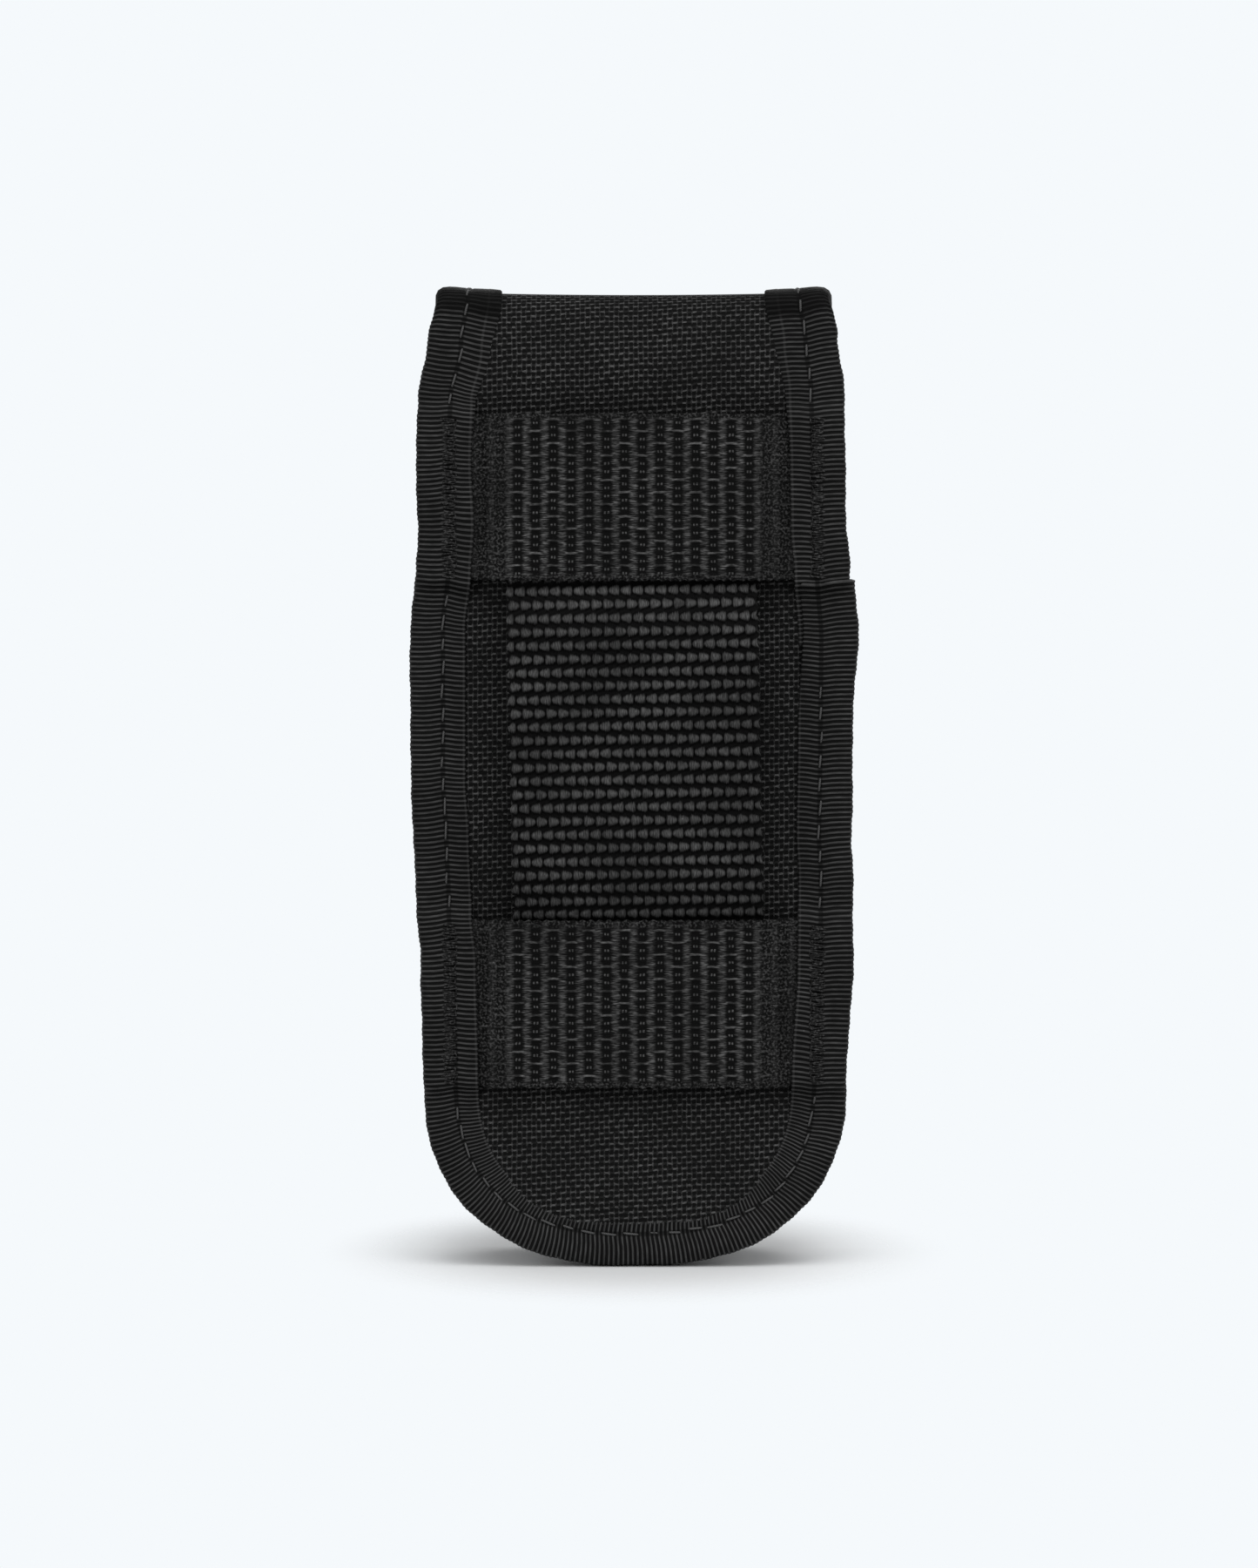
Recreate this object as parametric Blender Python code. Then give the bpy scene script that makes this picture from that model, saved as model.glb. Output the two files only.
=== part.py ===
"""Nylon belt sheath for a multi tool: a padded pocket with a folding flap, bound edges and a webbing belt loop.

Metres, +Z up. The belt-loop side faces -Y and the flap closes over the +Y side. Heights are measured from the
lowest point of the sheath and depths from its back fabric. The "sheath" empty then puts the middle of the belt
passage at the world's origin.
"""

import math
from collections import namedtuple

import bmesh
import bpy
from mathutils import Matrix, Vector

MM = 0.001

# Overall size and the clearance kept between neighbouring pieces.
HEIGHT = 149.5 * MM
MOUTH_HEIGHT = 105.5 * MM
POCKET_DEPTH = 20.0 * MM
GAP = 0.3 * MM
MITRE_GAP = 0.25 * MM

# Thicknesses of the layers.
SHELL = 0.7 * MM
BACK_FOAM = 1.2 * MM
FRONT_FOAM = 1.6 * MM
STIFFENER = 0.8 * MM
LINING = 0.5 * MM
TAPE = 0.6 * MM
GUSSET_WALL = 1.2 * MM
GUSSET_FLANGE = 0.8 * MM
CLOSURE = 1.2 * MM

# Edge binding: how far the tape reaches in from the edge, on the seen side and on the hidden side.
TAPE_REACH = 8.4 * MM
TAPE_TURN_IN = 4.8 * MM
PANEL_INSET = TAPE + GAP
GUSSET_INSET = 5.6 * MM
STIFFENER_INSET = 7.5 * MM
STIFFENER_TOP = 139.0 * MM
GUSSET_JOIN = 34.0 * MM

# Belt loop: one upright strap held down by two cross bands.
STRAP_WIDTH = 38.1 * MM
STRAP_THICKNESS = 1.8 * MM
STRAP_STAND_OFF = 5.6 * MM
STRAP_RAMP = 7.0 * MM
STRAP_LOW_END = 30.0 * MM
STRAP_HIGH_END = 128.0 * MM
BAND_THICKNESS = 1.5 * MM
BAND_HALF_LENGTH = 31.2 * MM
BAND_RAMP_START = 20.2 * MM
BAND_RAMP_END = 23.4 * MM
LOWER_BAND = (27.8 * MM, 53.2 * MM)
UPPER_BAND = (105.0 * MM, 130.4 * MM)
TACK_THICKNESS = 0.4 * MM
TACK_WIDTH = 2.4 * MM
TACK_PLACE = 28.0 * MM
TACK_MARGIN = 0.6 * MM

# Flap front and its closure patches.
FLAP_TIP = 64.0 * MM
PATCH_HALF_WIDTH = 15.0 * MM
LOOP_PATCH = (67.0 * MM, 96.5 * MM)
HOOK_PATCH = (71.5 * MM, 95.5 * MM)

# A bound outline: a rounded end of the form |x/a|^n + |z/b|^n = 1, then half widths at the heights above it.
Edge = namedtuple("Edge", "base curve_height exponent stations")
BODY_EDGE = Edge(
    0.0,
    29.0 * MM,
    2.4,
    (
        (29.0 * MM, 32.3 * MM),
        (46.0 * MM, 33.0 * MM),
        (85.0 * MM, 33.9 * MM),
        (102.0 * MM, 33.9 * MM),
        (111.0 * MM, 32.6 * MM),
        (124.0 * MM, 32.7 * MM),
        (136.0 * MM, 32.0 * MM),
        (HEIGHT, 30.2 * MM),
    ),
)
FLAP_EDGE = Edge(
    FLAP_TIP,
    18.0 * MM,
    2.6,
    (
        (FLAP_TIP + 18.0 * MM, 31.6 * MM),
        (134.0 * MM, 31.6 * MM),
        (HEIGHT, 30.2 * MM),
    ),
)
SIDE_SPACING = 6.0 * MM
END_STEPS = 20
RAMP_STEPS = 4

# Depths of the layers, from the back fabric's outer face towards the front.
BACK_SHELL_Y = (0.0, SHELL)
BACK_FOAM_Y = (BACK_SHELL_Y[1] + GAP, BACK_SHELL_Y[1] + GAP + BACK_FOAM)
STIFFENER_Y = (BACK_FOAM_Y[1] + GAP, BACK_FOAM_Y[1] + GAP + STIFFENER)
BACK_LINING_Y = (STIFFENER_Y[1] + GAP, STIFFENER_Y[1] + GAP + LINING)
FRONT_LINING_Y = (BACK_LINING_Y[1] + POCKET_DEPTH, BACK_LINING_Y[1] + POCKET_DEPTH + LINING)
FRONT_FOAM_Y = (FRONT_LINING_Y[1] + GAP, FRONT_LINING_Y[1] + GAP + FRONT_FOAM)
FRONT_SHELL_Y = (FRONT_FOAM_Y[1] + GAP, FRONT_FOAM_Y[1] + GAP + SHELL)
LOOP_Y = (FRONT_SHELL_Y[1] + GAP, FRONT_SHELL_Y[1] + GAP + CLOSURE)
HOOK_Y = (LOOP_Y[1] + GAP, LOOP_Y[1] + GAP + CLOSURE)
FLAP_LINING_Y = (HOOK_Y[1] + GAP, HOOK_Y[1] + GAP + LINING)
FLAP_FOAM_Y = (FLAP_LINING_Y[1] + GAP, FLAP_LINING_Y[1] + GAP + FRONT_FOAM)
FLAP_SHELL_Y = (FLAP_FOAM_Y[1] + GAP, FLAP_FOAM_Y[1] + GAP + SHELL)

# Faces of the binding and of the gusset's seam flanges.
BACK_TAPE_Y = -GAP - TAPE
BACK_FLANGE_Y = (BACK_LINING_Y[1] + GAP, BACK_LINING_Y[1] + GAP + GUSSET_FLANGE)
FRONT_FLANGE_Y = (FRONT_LINING_Y[0] - GAP - GUSSET_FLANGE, FRONT_LINING_Y[0] - GAP)
FLAP_TAPE_Y = FLAP_SHELL_Y[1] + GAP + TAPE

# Fold axes run along X on the outer faces of the binding.
BACK_FOLD = Vector((0.0, BACK_TAPE_Y, HEIGHT))
FRONT_FOLD = Vector((0.0, FLAP_TAPE_Y, HEIGHT))

# Heights of the layers that cross the top, from the outside down.
TOP_SHELL_Z = (HEIGHT - TAPE - GAP - SHELL, HEIGHT - TAPE - GAP)
TOP_FOAM_Z = (TOP_SHELL_Z[0] - GAP - FRONT_FOAM, TOP_SHELL_Z[0] - GAP)
TOP_LINING_Z = (TOP_FOAM_Z[0] - GAP - LINING, TOP_FOAM_Z[0] - GAP)

BELT_PASSAGE = Vector((0.0, -STRAP_STAND_OFF / 2.0, (LOWER_BAND[1] + UPPER_BAND[0]) / 2.0))


def clear_scene():
    for obj in list(bpy.data.objects):
        bpy.data.objects.remove(obj, do_unlink=True)


def make_material(name, colour, roughness):
    material = bpy.data.materials.new(name)
    material.use_nodes = True
    shader = material.node_tree.nodes["Principled BSDF"]
    shader.inputs["Base Color"].default_value = (*colour, 1.0)
    shader.inputs["Roughness"].default_value = roughness
    shader.inputs["Metallic"].default_value = 0.0
    return material


def make_empty(name, place, parent=None):
    empty = bpy.data.objects.new(name, None)
    bpy.context.collection.objects.link(empty)
    empty.location = place
    empty.parent = parent
    return empty


def add_piece(name, mesh_builder, material, body):
    """Makes an object from a bmesh drawn in sheath coordinates and hangs it on its body's empty."""
    bmesh.ops.recalc_face_normals(mesh_builder, faces=mesh_builder.faces)
    mesh = bpy.data.meshes.new(name)
    mesh_builder.to_mesh(mesh)
    mesh_builder.free()
    mesh.materials.append(material)
    obj = bpy.data.objects.new(name, mesh)
    bpy.context.collection.objects.link(obj)
    obj.parent = body
    obj.matrix_parent_inverse = Matrix.Translation(-body_pivot(body))
    return obj


def body_pivot(body):
    """Where a body's empty stands in sheath coordinates."""
    pivot = Vector()
    while body.parent:
        pivot += body.location
        body = body.parent
    return pivot


def smooth(share):
    return share * share * (3.0 - 2.0 * share)


def half_width(edge, height):
    """Half width of an outline above its rounded end."""
    stations = edge.stations
    for (low, low_width), (high, high_width) in zip(stations, stations[1:]):
        if height <= high:
            return low_width + (high_width - low_width) * smooth((height - low) / (high - low))
    return stations[-1][1]


def side_point(edge, height):
    """(x, z, outward x, outward z) on the right side of an outline."""
    step = 0.5 * MM
    slope = (half_width(edge, height + step) - half_width(edge, height - step)) / (2.0 * step)
    length = math.hypot(1.0, slope)
    return half_width(edge, height), height, 1.0 / length, -slope / length


def end_point(edge, angle):
    """(x, z, outward x, outward z) on the rounded end, from angle 0 at its right to pi at its left."""
    reach = edge.stations[0][1]
    across = math.copysign(abs(math.cos(angle)) ** (2.0 / edge.exponent), math.cos(angle))
    down = math.sin(angle) ** (2.0 / edge.exponent)
    normal_x = math.copysign(abs(across) ** (edge.exponent - 1.0) / reach, across)
    normal_z = -(down ** (edge.exponent - 1.0)) / edge.curve_height
    length = math.hypot(normal_x, normal_z)
    height = edge.base + edge.curve_height * (1.0 - down)
    return reach * across, height, normal_x / length, normal_z / length


def shared_heights(edge, low, high):
    """Heights between two limits where every layer has a point, so that neighbouring layers bend alike."""
    heights = []
    for (start, _), (end, _) in zip(edge.stations, edge.stations[1:]):
        steps = math.ceil((end - start) / SIDE_SPACING)
        heights += [start + (end - start) * step / steps for step in range(steps)]
    return [height for height in heights if low + MM < height < high - MM]


def side_path(edge, low, high, heights):
    """Points down the right side of an outline, from high to low."""
    return [side_point(edge, height) for height in sorted({low, high, *heights}, reverse=True)]


def mirrored(path):
    return [(-x, z, -normal_x, normal_z) for x, z, normal_x, normal_z in reversed(path)]


def loop_path(edge, top, shared_top, marks=()):
    """Points of an outline from its top right corner, round its end, to its top left corner."""
    low = edge.base + edge.curve_height
    side_marks = [height for height in marks if height > low]
    side = side_path(edge, low, top, {*shared_heights(edge, low, shared_top), *side_marks})
    angles = {math.pi * step / END_STEPS for step in range(1, END_STEPS)}
    for height in set(marks) - set(side_marks):
        angle = math.asin(((low - height) / edge.curve_height) ** (edge.exponent / 2.0))
        angles.update((angle, math.pi - angle))
    return side + [end_point(edge, angle) for angle in sorted(angles)] + mirrored(side)


def sweep(rings):
    """A closed tube through rings of points, with a face on each end."""
    builder = bmesh.new()
    corners = [[builder.verts.new(point) for point in ring] for ring in rings]
    for ring, following in zip(corners, corners[1:]):
        for index, corner in enumerate(ring):
            before = index - 1
            builder.faces.new((ring[before], corner, following[index], following[before]))
    builder.faces.new(corners[0])
    builder.faces.new(corners[-1])
    return builder


def along_edge(path, section):
    """Rings of a section of (inset, depth) points, carried along an outline."""
    return [
        [(x - inset * normal_x, depth, z - inset * normal_z) for inset, depth in section(z)]
        for x, z, normal_x, normal_z in path
    ]


def cut_at_fold(rings, edge, fold, towards_front):
    """Slants both ends of swept rings along the mitre plane that runs inwards from a fold."""
    for ring in (rings[0], rings[-1]):
        for index, (x, y, z) in enumerate(ring):
            height = mitre_height(fold, y, towards_front)
            widening = half_width(edge, height) - half_width(edge, z)
            ring[index] = (x + math.copysign(widening, x), y, height)


def mitre_height(fold, y, towards_front):
    """Height of the mitre plane at a depth."""
    inwards = y - fold.y if towards_front else fold.y - y
    return fold.z - inwards - MITRE_GAP


def tape_section(outer, inner, reach=TAPE_REACH, turn_in=TAPE_TURN_IN):
    """U section of a binding that wraps an edge between two depths."""
    side = 1.0 if inner > outer else -1.0
    wall = side * TAPE
    return [
        (reach, outer),
        (TAPE, outer),
        (0.0, outer + wall),
        (0.0, inner - wall),
        (TAPE, inner),
        (turn_in, inner),
        (turn_in, inner - wall),
        (TAPE, inner - wall),
        (TAPE, outer + wall),
        (reach, outer + wall),
    ]


def panel(edge, inset, depths, tops):
    """A flat layer inside an outline, with its own top height on each face."""
    faces = [
        [(x - inset * nx, depth, z - inset * nz) for x, z, nx, nz in loop_path(edge, top, min(tops))]
        for depth, top in zip(depths, tops)
    ]
    return sweep(faces)


def block(low, high):
    """A box between two corners."""
    builder = bmesh.new()
    bmesh.ops.create_cube(builder, size=1.0)
    size = Vector(high) - Vector(low)
    bmesh.ops.scale(builder, vec=size, verts=builder.verts)
    bmesh.ops.translate(builder, vec=(Vector(high) + Vector(low)) / 2.0, verts=builder.verts)
    return builder


def fabric_patch(name, centre_y, heights, half_width_x, thickness, material, body):
    """A thin rectangle with softened edges."""
    low = (-half_width_x, centre_y - thickness / 2.0, heights[0])
    high = (half_width_x, centre_y + thickness / 2.0, heights[1])
    patch = add_piece(name, block(low, high), material, body)
    bevel = patch.modifiers.new("softened_edges", "BEVEL")
    bevel.width = thickness / 4.0
    bevel.segments = 1
    return patch


def ramp_points(start, end, low, high):
    """(along, out) points of a smooth rise from low to high."""
    shares = [step / RAMP_STEPS for step in range(RAMP_STEPS + 1)]
    return [(start + (end - start) * share, low + (high - low) * smooth(share)) for share in shares]


def webbing_strip(centre_line, thickness, place):
    """A flat strip whose section follows (along, out) points. place turns (along, out, side) into a point."""
    rings = []
    for along, out in centre_line:
        rings.append([place(along, out + rise, side) for rise, side in strip_corners(thickness)])
    return sweep(rings)


def strip_corners(thickness):
    return ((0.0, 0), (0.0, 1), (thickness, 1), (thickness, 0))


def band_lift(height):
    """How far the back tape is raised where it passes over a cross band's end."""
    lifted = BAND_THICKNESS + GAP
    margin = 1.0 * MM
    for low, high in (LOWER_BAND, UPPER_BAND):
        if low - margin <= height <= high + margin:
            return lifted
    return 0.0


def back_tape_marks():
    """Heights where the back tape climbs on and off the bands, and where the gusset under it ends."""
    start = 0.9 * MM
    end = 2.2 * MM
    marks = [MOUTH_HEIGHT, MOUTH_HEIGHT + end]
    for low, high in (LOWER_BAND, UPPER_BAND):
        marks += [low - end, low - start, high + start, high + end]
    return marks


def back_tape_section(height):
    """Section of the back binding: it wraps the gusset flange below the mouth and the panel alone above it."""
    inner_face = BACK_FLANGE_Y[1] if height <= MOUTH_HEIGHT else BACK_LINING_Y[1]
    section = tape_section(BACK_TAPE_Y, inner_face + GAP + TAPE)
    lift = band_lift(height)
    return [(inset, depth - lift if depth < 0.0 else depth) for inset, depth in section]


def gusset_section(_height):
    """Section of a gusset: a wall between two outward seam flanges."""
    edge = PANEL_INSET
    wall_in = GUSSET_INSET + GUSSET_WALL
    return [
        (edge, BACK_FLANGE_Y[0]),
        (wall_in, BACK_FLANGE_Y[0]),
        (wall_in, FRONT_FLANGE_Y[1]),
        (edge, FRONT_FLANGE_Y[1]),
        (edge, FRONT_FLANGE_Y[0]),
        (GUSSET_INSET, FRONT_FLANGE_Y[0]),
        (GUSSET_INSET, BACK_FLANGE_Y[1]),
        (edge, BACK_FLANGE_Y[1]),
    ]


def build_back(body, materials):
    """The back panel from the outside in, and the tape round its edge."""
    layers = (
        ("back_panel_shell", BACK_SHELL_Y, "ballistic_nylon"),
        ("back_foam", BACK_FOAM_Y, "foam"),
        ("back_lining", BACK_LINING_Y, "lining"),
    )
    for name, depths, material in layers:
        tops = [mitre_height(BACK_FOLD, depth, True) for depth in depths]
        add_piece(name, panel(BODY_EDGE, PANEL_INSET, depths, tops), materials[material], body)
    stiffener = panel(BODY_EDGE, STIFFENER_INSET, STIFFENER_Y, (STIFFENER_TOP, STIFFENER_TOP))
    add_piece("back_stiffener", stiffener, materials["stiffener"], body)

    mitre_foot = mitre_height(BACK_FOLD, BACK_LINING_Y[1] + GAP + TAPE, True)
    path = loop_path(BODY_EDGE, HEIGHT, mitre_foot, back_tape_marks())
    rings = along_edge(path, back_tape_section)
    cut_at_fold(rings, BODY_EDGE, BACK_FOLD, True)
    add_piece("back_binding", sweep(rings), materials["grosgrain"], body)


def build_gussets(body, materials):
    """Ribbed elastic at each side of the pocket and a nylon strip round its end."""
    top = MOUTH_HEIGHT - TAPE
    low = GUSSET_JOIN + GAP / 2.0
    side = side_path(BODY_EDGE, low, top, shared_heights(BODY_EDGE, low, top))
    right = sweep(along_edge(side, gusset_section))
    left = sweep(along_edge(mirrored(side), gusset_section))
    add_piece("gusset_right", right, materials["elastic"], body)
    add_piece("gusset_left", left, materials["elastic"], body)
    high = GUSSET_JOIN - GAP / 2.0
    end = loop_path(BODY_EDGE, high, high)
    add_piece("bottom_gusset", sweep(along_edge(end, gusset_section)), materials["ballistic_nylon"], body)


def build_front(body, materials):
    """The pocket's front panel, its edge tapes and the loop half of the closure."""
    top = MOUTH_HEIGHT - PANEL_INSET
    layers = (
        ("front_lining", FRONT_LINING_Y, "lining"),
        ("front_foam", FRONT_FOAM_Y, "foam"),
        ("front_panel_shell", FRONT_SHELL_Y, "ballistic_nylon"),
    )
    for name, depths, material in layers:
        add_piece(name, panel(BODY_EDGE, PANEL_INSET, depths, (top, top)), materials[material], body)

    outer = FRONT_SHELL_Y[1] + GAP + TAPE
    inner = FRONT_FLANGE_Y[0] - GAP - TAPE
    path = loop_path(BODY_EDGE, MOUTH_HEIGHT, MOUTH_HEIGHT)
    rings = along_edge(path, lambda _: tape_section(outer, inner))
    add_piece("front_binding", sweep(rings), materials["grosgrain"], body)

    mouth_inner = FRONT_LINING_Y[0] - GAP - TAPE
    reach = half_width(BODY_EDGE, MOUTH_HEIGHT) - TAPE_REACH - GAP
    section = tape_section(outer, mouth_inner, TAPE_REACH, TAPE_REACH)
    rings = [[(x, depth, MOUTH_HEIGHT - inset) for inset, depth in section] for x in (-reach, reach)]
    add_piece("mouth_binding", sweep(rings), materials["grosgrain"], body)

    centre = sum(LOOP_Y) / 2.0
    fabric_patch("loop_patch", centre, LOOP_PATCH, PATCH_HALF_WIDTH, CLOSURE, materials["loop"], body)


def build_belt_loop(body, materials):
    """The upright strap, the two cross bands over its ends and the stitching that holds them."""
    low = ramp_points(LOWER_BAND[1] + 2 * GAP, LOWER_BAND[1] + 2 * GAP + STRAP_RAMP, GAP, STRAP_STAND_OFF)
    high = ramp_points(UPPER_BAND[0] - 2 * GAP - STRAP_RAMP, UPPER_BAND[0] - 2 * GAP, STRAP_STAND_OFF, GAP)
    line = [(STRAP_LOW_END, GAP)] + low + high + [(STRAP_HIGH_END, GAP)]
    half = STRAP_WIDTH / 2.0
    strap = webbing_strip(line, STRAP_THICKNESS, lambda z, out, side: (half - 2 * half * side, -out, z))
    add_piece("belt_strap", strap, materials["webbing"], body)

    tack_top = GAP + STRAP_THICKNESS + GAP + TACK_THICKNESS
    over_strap = tack_top + GAP
    rise = ramp_points(-BAND_RAMP_END, -BAND_RAMP_START, GAP, over_strap)
    fall = ramp_points(BAND_RAMP_START, BAND_RAMP_END, over_strap, GAP)
    line = [(-BAND_HALF_LENGTH, GAP)] + rise + fall + [(BAND_HALF_LENGTH, GAP)]
    bands = (("upper", UPPER_BAND), ("lower", LOWER_BAND))
    for name, (bottom, top) in bands:
        tall = top - bottom
        band = webbing_strip(
            line, BAND_THICKNESS, lambda x, out, side: (x, -out, bottom + tall * side)
        )
        add_piece(f"{name}_cross_band", band, materials["webbing"], body)

        tape_face = BACK_TAPE_Y - BAND_THICKNESS - GAP
        outer = tape_face - GAP - TACK_THICKNESS
        for side, sign in (("left", -1.0), ("right", 1.0)):
            centre = sign * TACK_PLACE
            tack = block(
                (centre - TACK_WIDTH / 2.0, outer, bottom + TACK_MARGIN),
                (centre + TACK_WIDTH / 2.0, outer + TACK_THICKNESS, top - TACK_MARGIN),
            )
            add_piece(f"{name}_{side}_bartack", tack, materials["thread"], body)

        strap_tack = block(
            (-half + TACK_WIDTH, -tack_top, (bottom + top - TACK_WIDTH) / 2.0),
            (half - TACK_WIDTH, -tack_top + TACK_THICKNESS, (bottom + top + TACK_WIDTH) / 2.0),
        )
        add_piece(f"{name}_strap_tack", strap_tack, materials["thread"], body)


def build_flap_top(body, materials):
    """The part of the flap that crosses the top of the sheath, between the two folds."""
    edge = half_width(BODY_EDGE, HEIGHT)
    layers = (
        ("flap_top_shell", TOP_SHELL_Z, "ballistic_nylon"),
        ("flap_top_foam", TOP_FOAM_Z, "foam"),
        ("flap_top_lining", TOP_LINING_Z, "lining"),
    )
    for name, heights, material in layers:
        rings = []
        for x in (PANEL_INSET - edge, edge - PANEL_INSET):
            rings.append([(x, y, z) for z in heights for y in top_limits(z)])
            rings[-1][2:] = reversed(rings[-1][2:])
        add_piece(name, sweep(rings), materials[material], body)

    outer = HEIGHT
    inner = TOP_LINING_Z[0] - GAP - TAPE
    for side, sign in (("left", -1.0), ("right", 1.0)):
        section = [(sign * (edge - inset), z) for inset, z in tape_section(outer, inner)]
        ends = [[(x, top_limits(z)[end], z) for x, z in section] for end in (0, 1)]
        add_piece(f"flap_top_binding_{side}", sweep(ends), materials["grosgrain"], body)


def top_limits(height):
    """Depths of the two mitre planes at a height."""
    below = HEIGHT - height + MITRE_GAP
    return BACK_FOLD.y + below, FRONT_FOLD.y - below


def build_flap_front(body, materials):
    """The part of the flap that hangs over the pocket, with the hook half of the closure."""
    layers = (
        ("flap_front_lining", FLAP_LINING_Y, "lining"),
        ("flap_front_foam", FLAP_FOAM_Y, "foam"),
        ("flap_front_shell", FLAP_SHELL_Y, "ballistic_nylon"),
    )
    for name, depths, material in layers:
        tops = [mitre_height(FRONT_FOLD, depth, False) for depth in depths]
        add_piece(name, panel(FLAP_EDGE, PANEL_INSET, depths, tops), materials[material], body)

    inner = FLAP_LINING_Y[0] - GAP - TAPE
    mitre_foot = mitre_height(FRONT_FOLD, inner, False)
    rings = along_edge(loop_path(FLAP_EDGE, HEIGHT, mitre_foot), lambda _: tape_section(FLAP_TAPE_Y, inner))
    cut_at_fold(rings, FLAP_EDGE, FRONT_FOLD, False)
    add_piece("flap_front_binding", sweep(rings), materials["grosgrain"], body)

    centre = sum(HOOK_Y) / 2.0
    fabric_patch("hook_patch", centre, HOOK_PATCH, PATCH_HALF_WIDTH, CLOSURE, materials["hook"], body)


clear_scene()

MATERIALS = {
    "ballistic_nylon": make_material("ballistic_nylon", (0.013, 0.013, 0.013), 0.75),
    "grosgrain": make_material("grosgrain", (0.015, 0.015, 0.015), 0.70),
    "webbing": make_material("webbing", (0.012, 0.012, 0.012), 0.60),
    "thread": make_material("thread", (0.020, 0.020, 0.020), 0.55),
    "elastic": make_material("elastic", (0.014, 0.014, 0.014), 0.80),
    "lining": make_material("lining", (0.018, 0.018, 0.018), 0.65),
    "foam": make_material("foam", (0.060, 0.060, 0.062), 0.90),
    "stiffener": make_material("stiffener", (0.030, 0.030, 0.032), 0.45),
    "loop": make_material("loop", (0.016, 0.016, 0.016), 0.95),
    "hook": make_material("hook", (0.020, 0.020, 0.020), 0.50),
}

SHEATH = make_empty("sheath", -BELT_PASSAGE)
POUCH = make_empty("pouch", (0.0, 0.0, 0.0), SHEATH)
FLAP_TOP = make_empty("flap_top", BACK_FOLD, POUCH)
FLAP_FRONT = make_empty("flap_front", FRONT_FOLD - BACK_FOLD, FLAP_TOP)

build_back(POUCH, MATERIALS)
build_gussets(POUCH, MATERIALS)
build_front(POUCH, MATERIALS)
build_belt_loop(POUCH, MATERIALS)
build_flap_top(FLAP_TOP, MATERIALS)
build_flap_front(FLAP_FRONT, MATERIALS)
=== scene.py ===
"""The looks of a nylon belt sheath for a multi tool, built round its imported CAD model.

One long tongue of padded nylon makes the back, the top and the flap. Its pieces are laid out flat, as they
are cut, with x across and s along from the lowest point of the back, then folded over the top. Lengths are in
millimetres.
"""

import math
import random

import bpy
import numpy as np
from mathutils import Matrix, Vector


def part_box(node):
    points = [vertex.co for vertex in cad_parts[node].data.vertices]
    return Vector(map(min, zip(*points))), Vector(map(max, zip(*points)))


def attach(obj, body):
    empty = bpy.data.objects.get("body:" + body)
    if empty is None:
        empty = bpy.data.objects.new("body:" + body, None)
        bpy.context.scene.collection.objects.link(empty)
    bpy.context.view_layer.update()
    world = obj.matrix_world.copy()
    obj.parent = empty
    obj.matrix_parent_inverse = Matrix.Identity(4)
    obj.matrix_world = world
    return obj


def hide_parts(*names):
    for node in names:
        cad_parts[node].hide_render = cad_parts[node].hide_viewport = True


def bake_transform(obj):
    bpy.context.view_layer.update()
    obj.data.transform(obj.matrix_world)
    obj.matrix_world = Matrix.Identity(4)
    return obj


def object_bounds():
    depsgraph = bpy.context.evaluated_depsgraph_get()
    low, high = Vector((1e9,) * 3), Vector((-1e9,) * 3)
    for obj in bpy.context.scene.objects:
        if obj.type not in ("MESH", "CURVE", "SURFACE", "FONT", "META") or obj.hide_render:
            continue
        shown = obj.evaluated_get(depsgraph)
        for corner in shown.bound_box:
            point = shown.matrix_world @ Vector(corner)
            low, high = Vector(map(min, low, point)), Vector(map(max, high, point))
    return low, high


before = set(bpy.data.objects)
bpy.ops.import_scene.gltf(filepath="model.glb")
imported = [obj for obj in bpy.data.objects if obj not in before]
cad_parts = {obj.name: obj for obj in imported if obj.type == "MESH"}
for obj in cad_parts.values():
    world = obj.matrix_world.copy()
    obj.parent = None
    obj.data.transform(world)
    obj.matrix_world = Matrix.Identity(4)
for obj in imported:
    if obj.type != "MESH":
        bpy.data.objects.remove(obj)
cad_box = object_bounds()

# ----------------------------------------------------------------------------------------------------
# Studio: the sheath stands on its rounded end on a pale sweep, seen square on from the belt-loop side with a
# long lens, under soft boxes at both sides and above.
MM = 0.001
BACK_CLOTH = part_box("back_panel_shell")[0][1]
GROUND = cad_box[0][2]


def at(x, y, z):
    """World points of sheath millimetres: y from the back cloth towards the flap, z from the lowest point."""
    x, y, z = np.broadcast_arrays(*(np.asarray(place, float) for place in (x, y, z)))
    return np.stack([x * MM, BACK_CLOTH + y * MM, GROUND + z * MM], axis=-1)


def new_object(name, data):
    made = bpy.data.objects.new(name, data)
    bpy.context.scene.collection.objects.link(made)
    return made


LENS_DISTANCE = 1.2
LENS_LIFT = math.radians(3.0)
VIEW_HEIGHT = 0.2389
SENSOR = 36.0
aim = Vector(at(-0.66, -0.9, 73.9))
camera = new_object("camera", bpy.data.cameras.new("camera"))
camera.location = aim + LENS_DISTANCE * Vector((0.0, -math.cos(LENS_LIFT), math.sin(LENS_LIFT)))
camera.rotation_euler = (math.pi / 2.0 - LENS_LIFT, 0.0, 0.0)
camera.data.sensor_width = SENSOR
camera.data.lens = SENSOR * LENS_DISTANCE / VIEW_HEIGHT
camera.data.clip_start = 0.01
bpy.context.scene.camera = camera
bpy.context.scene.view_settings.view_transform = "Standard"


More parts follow.
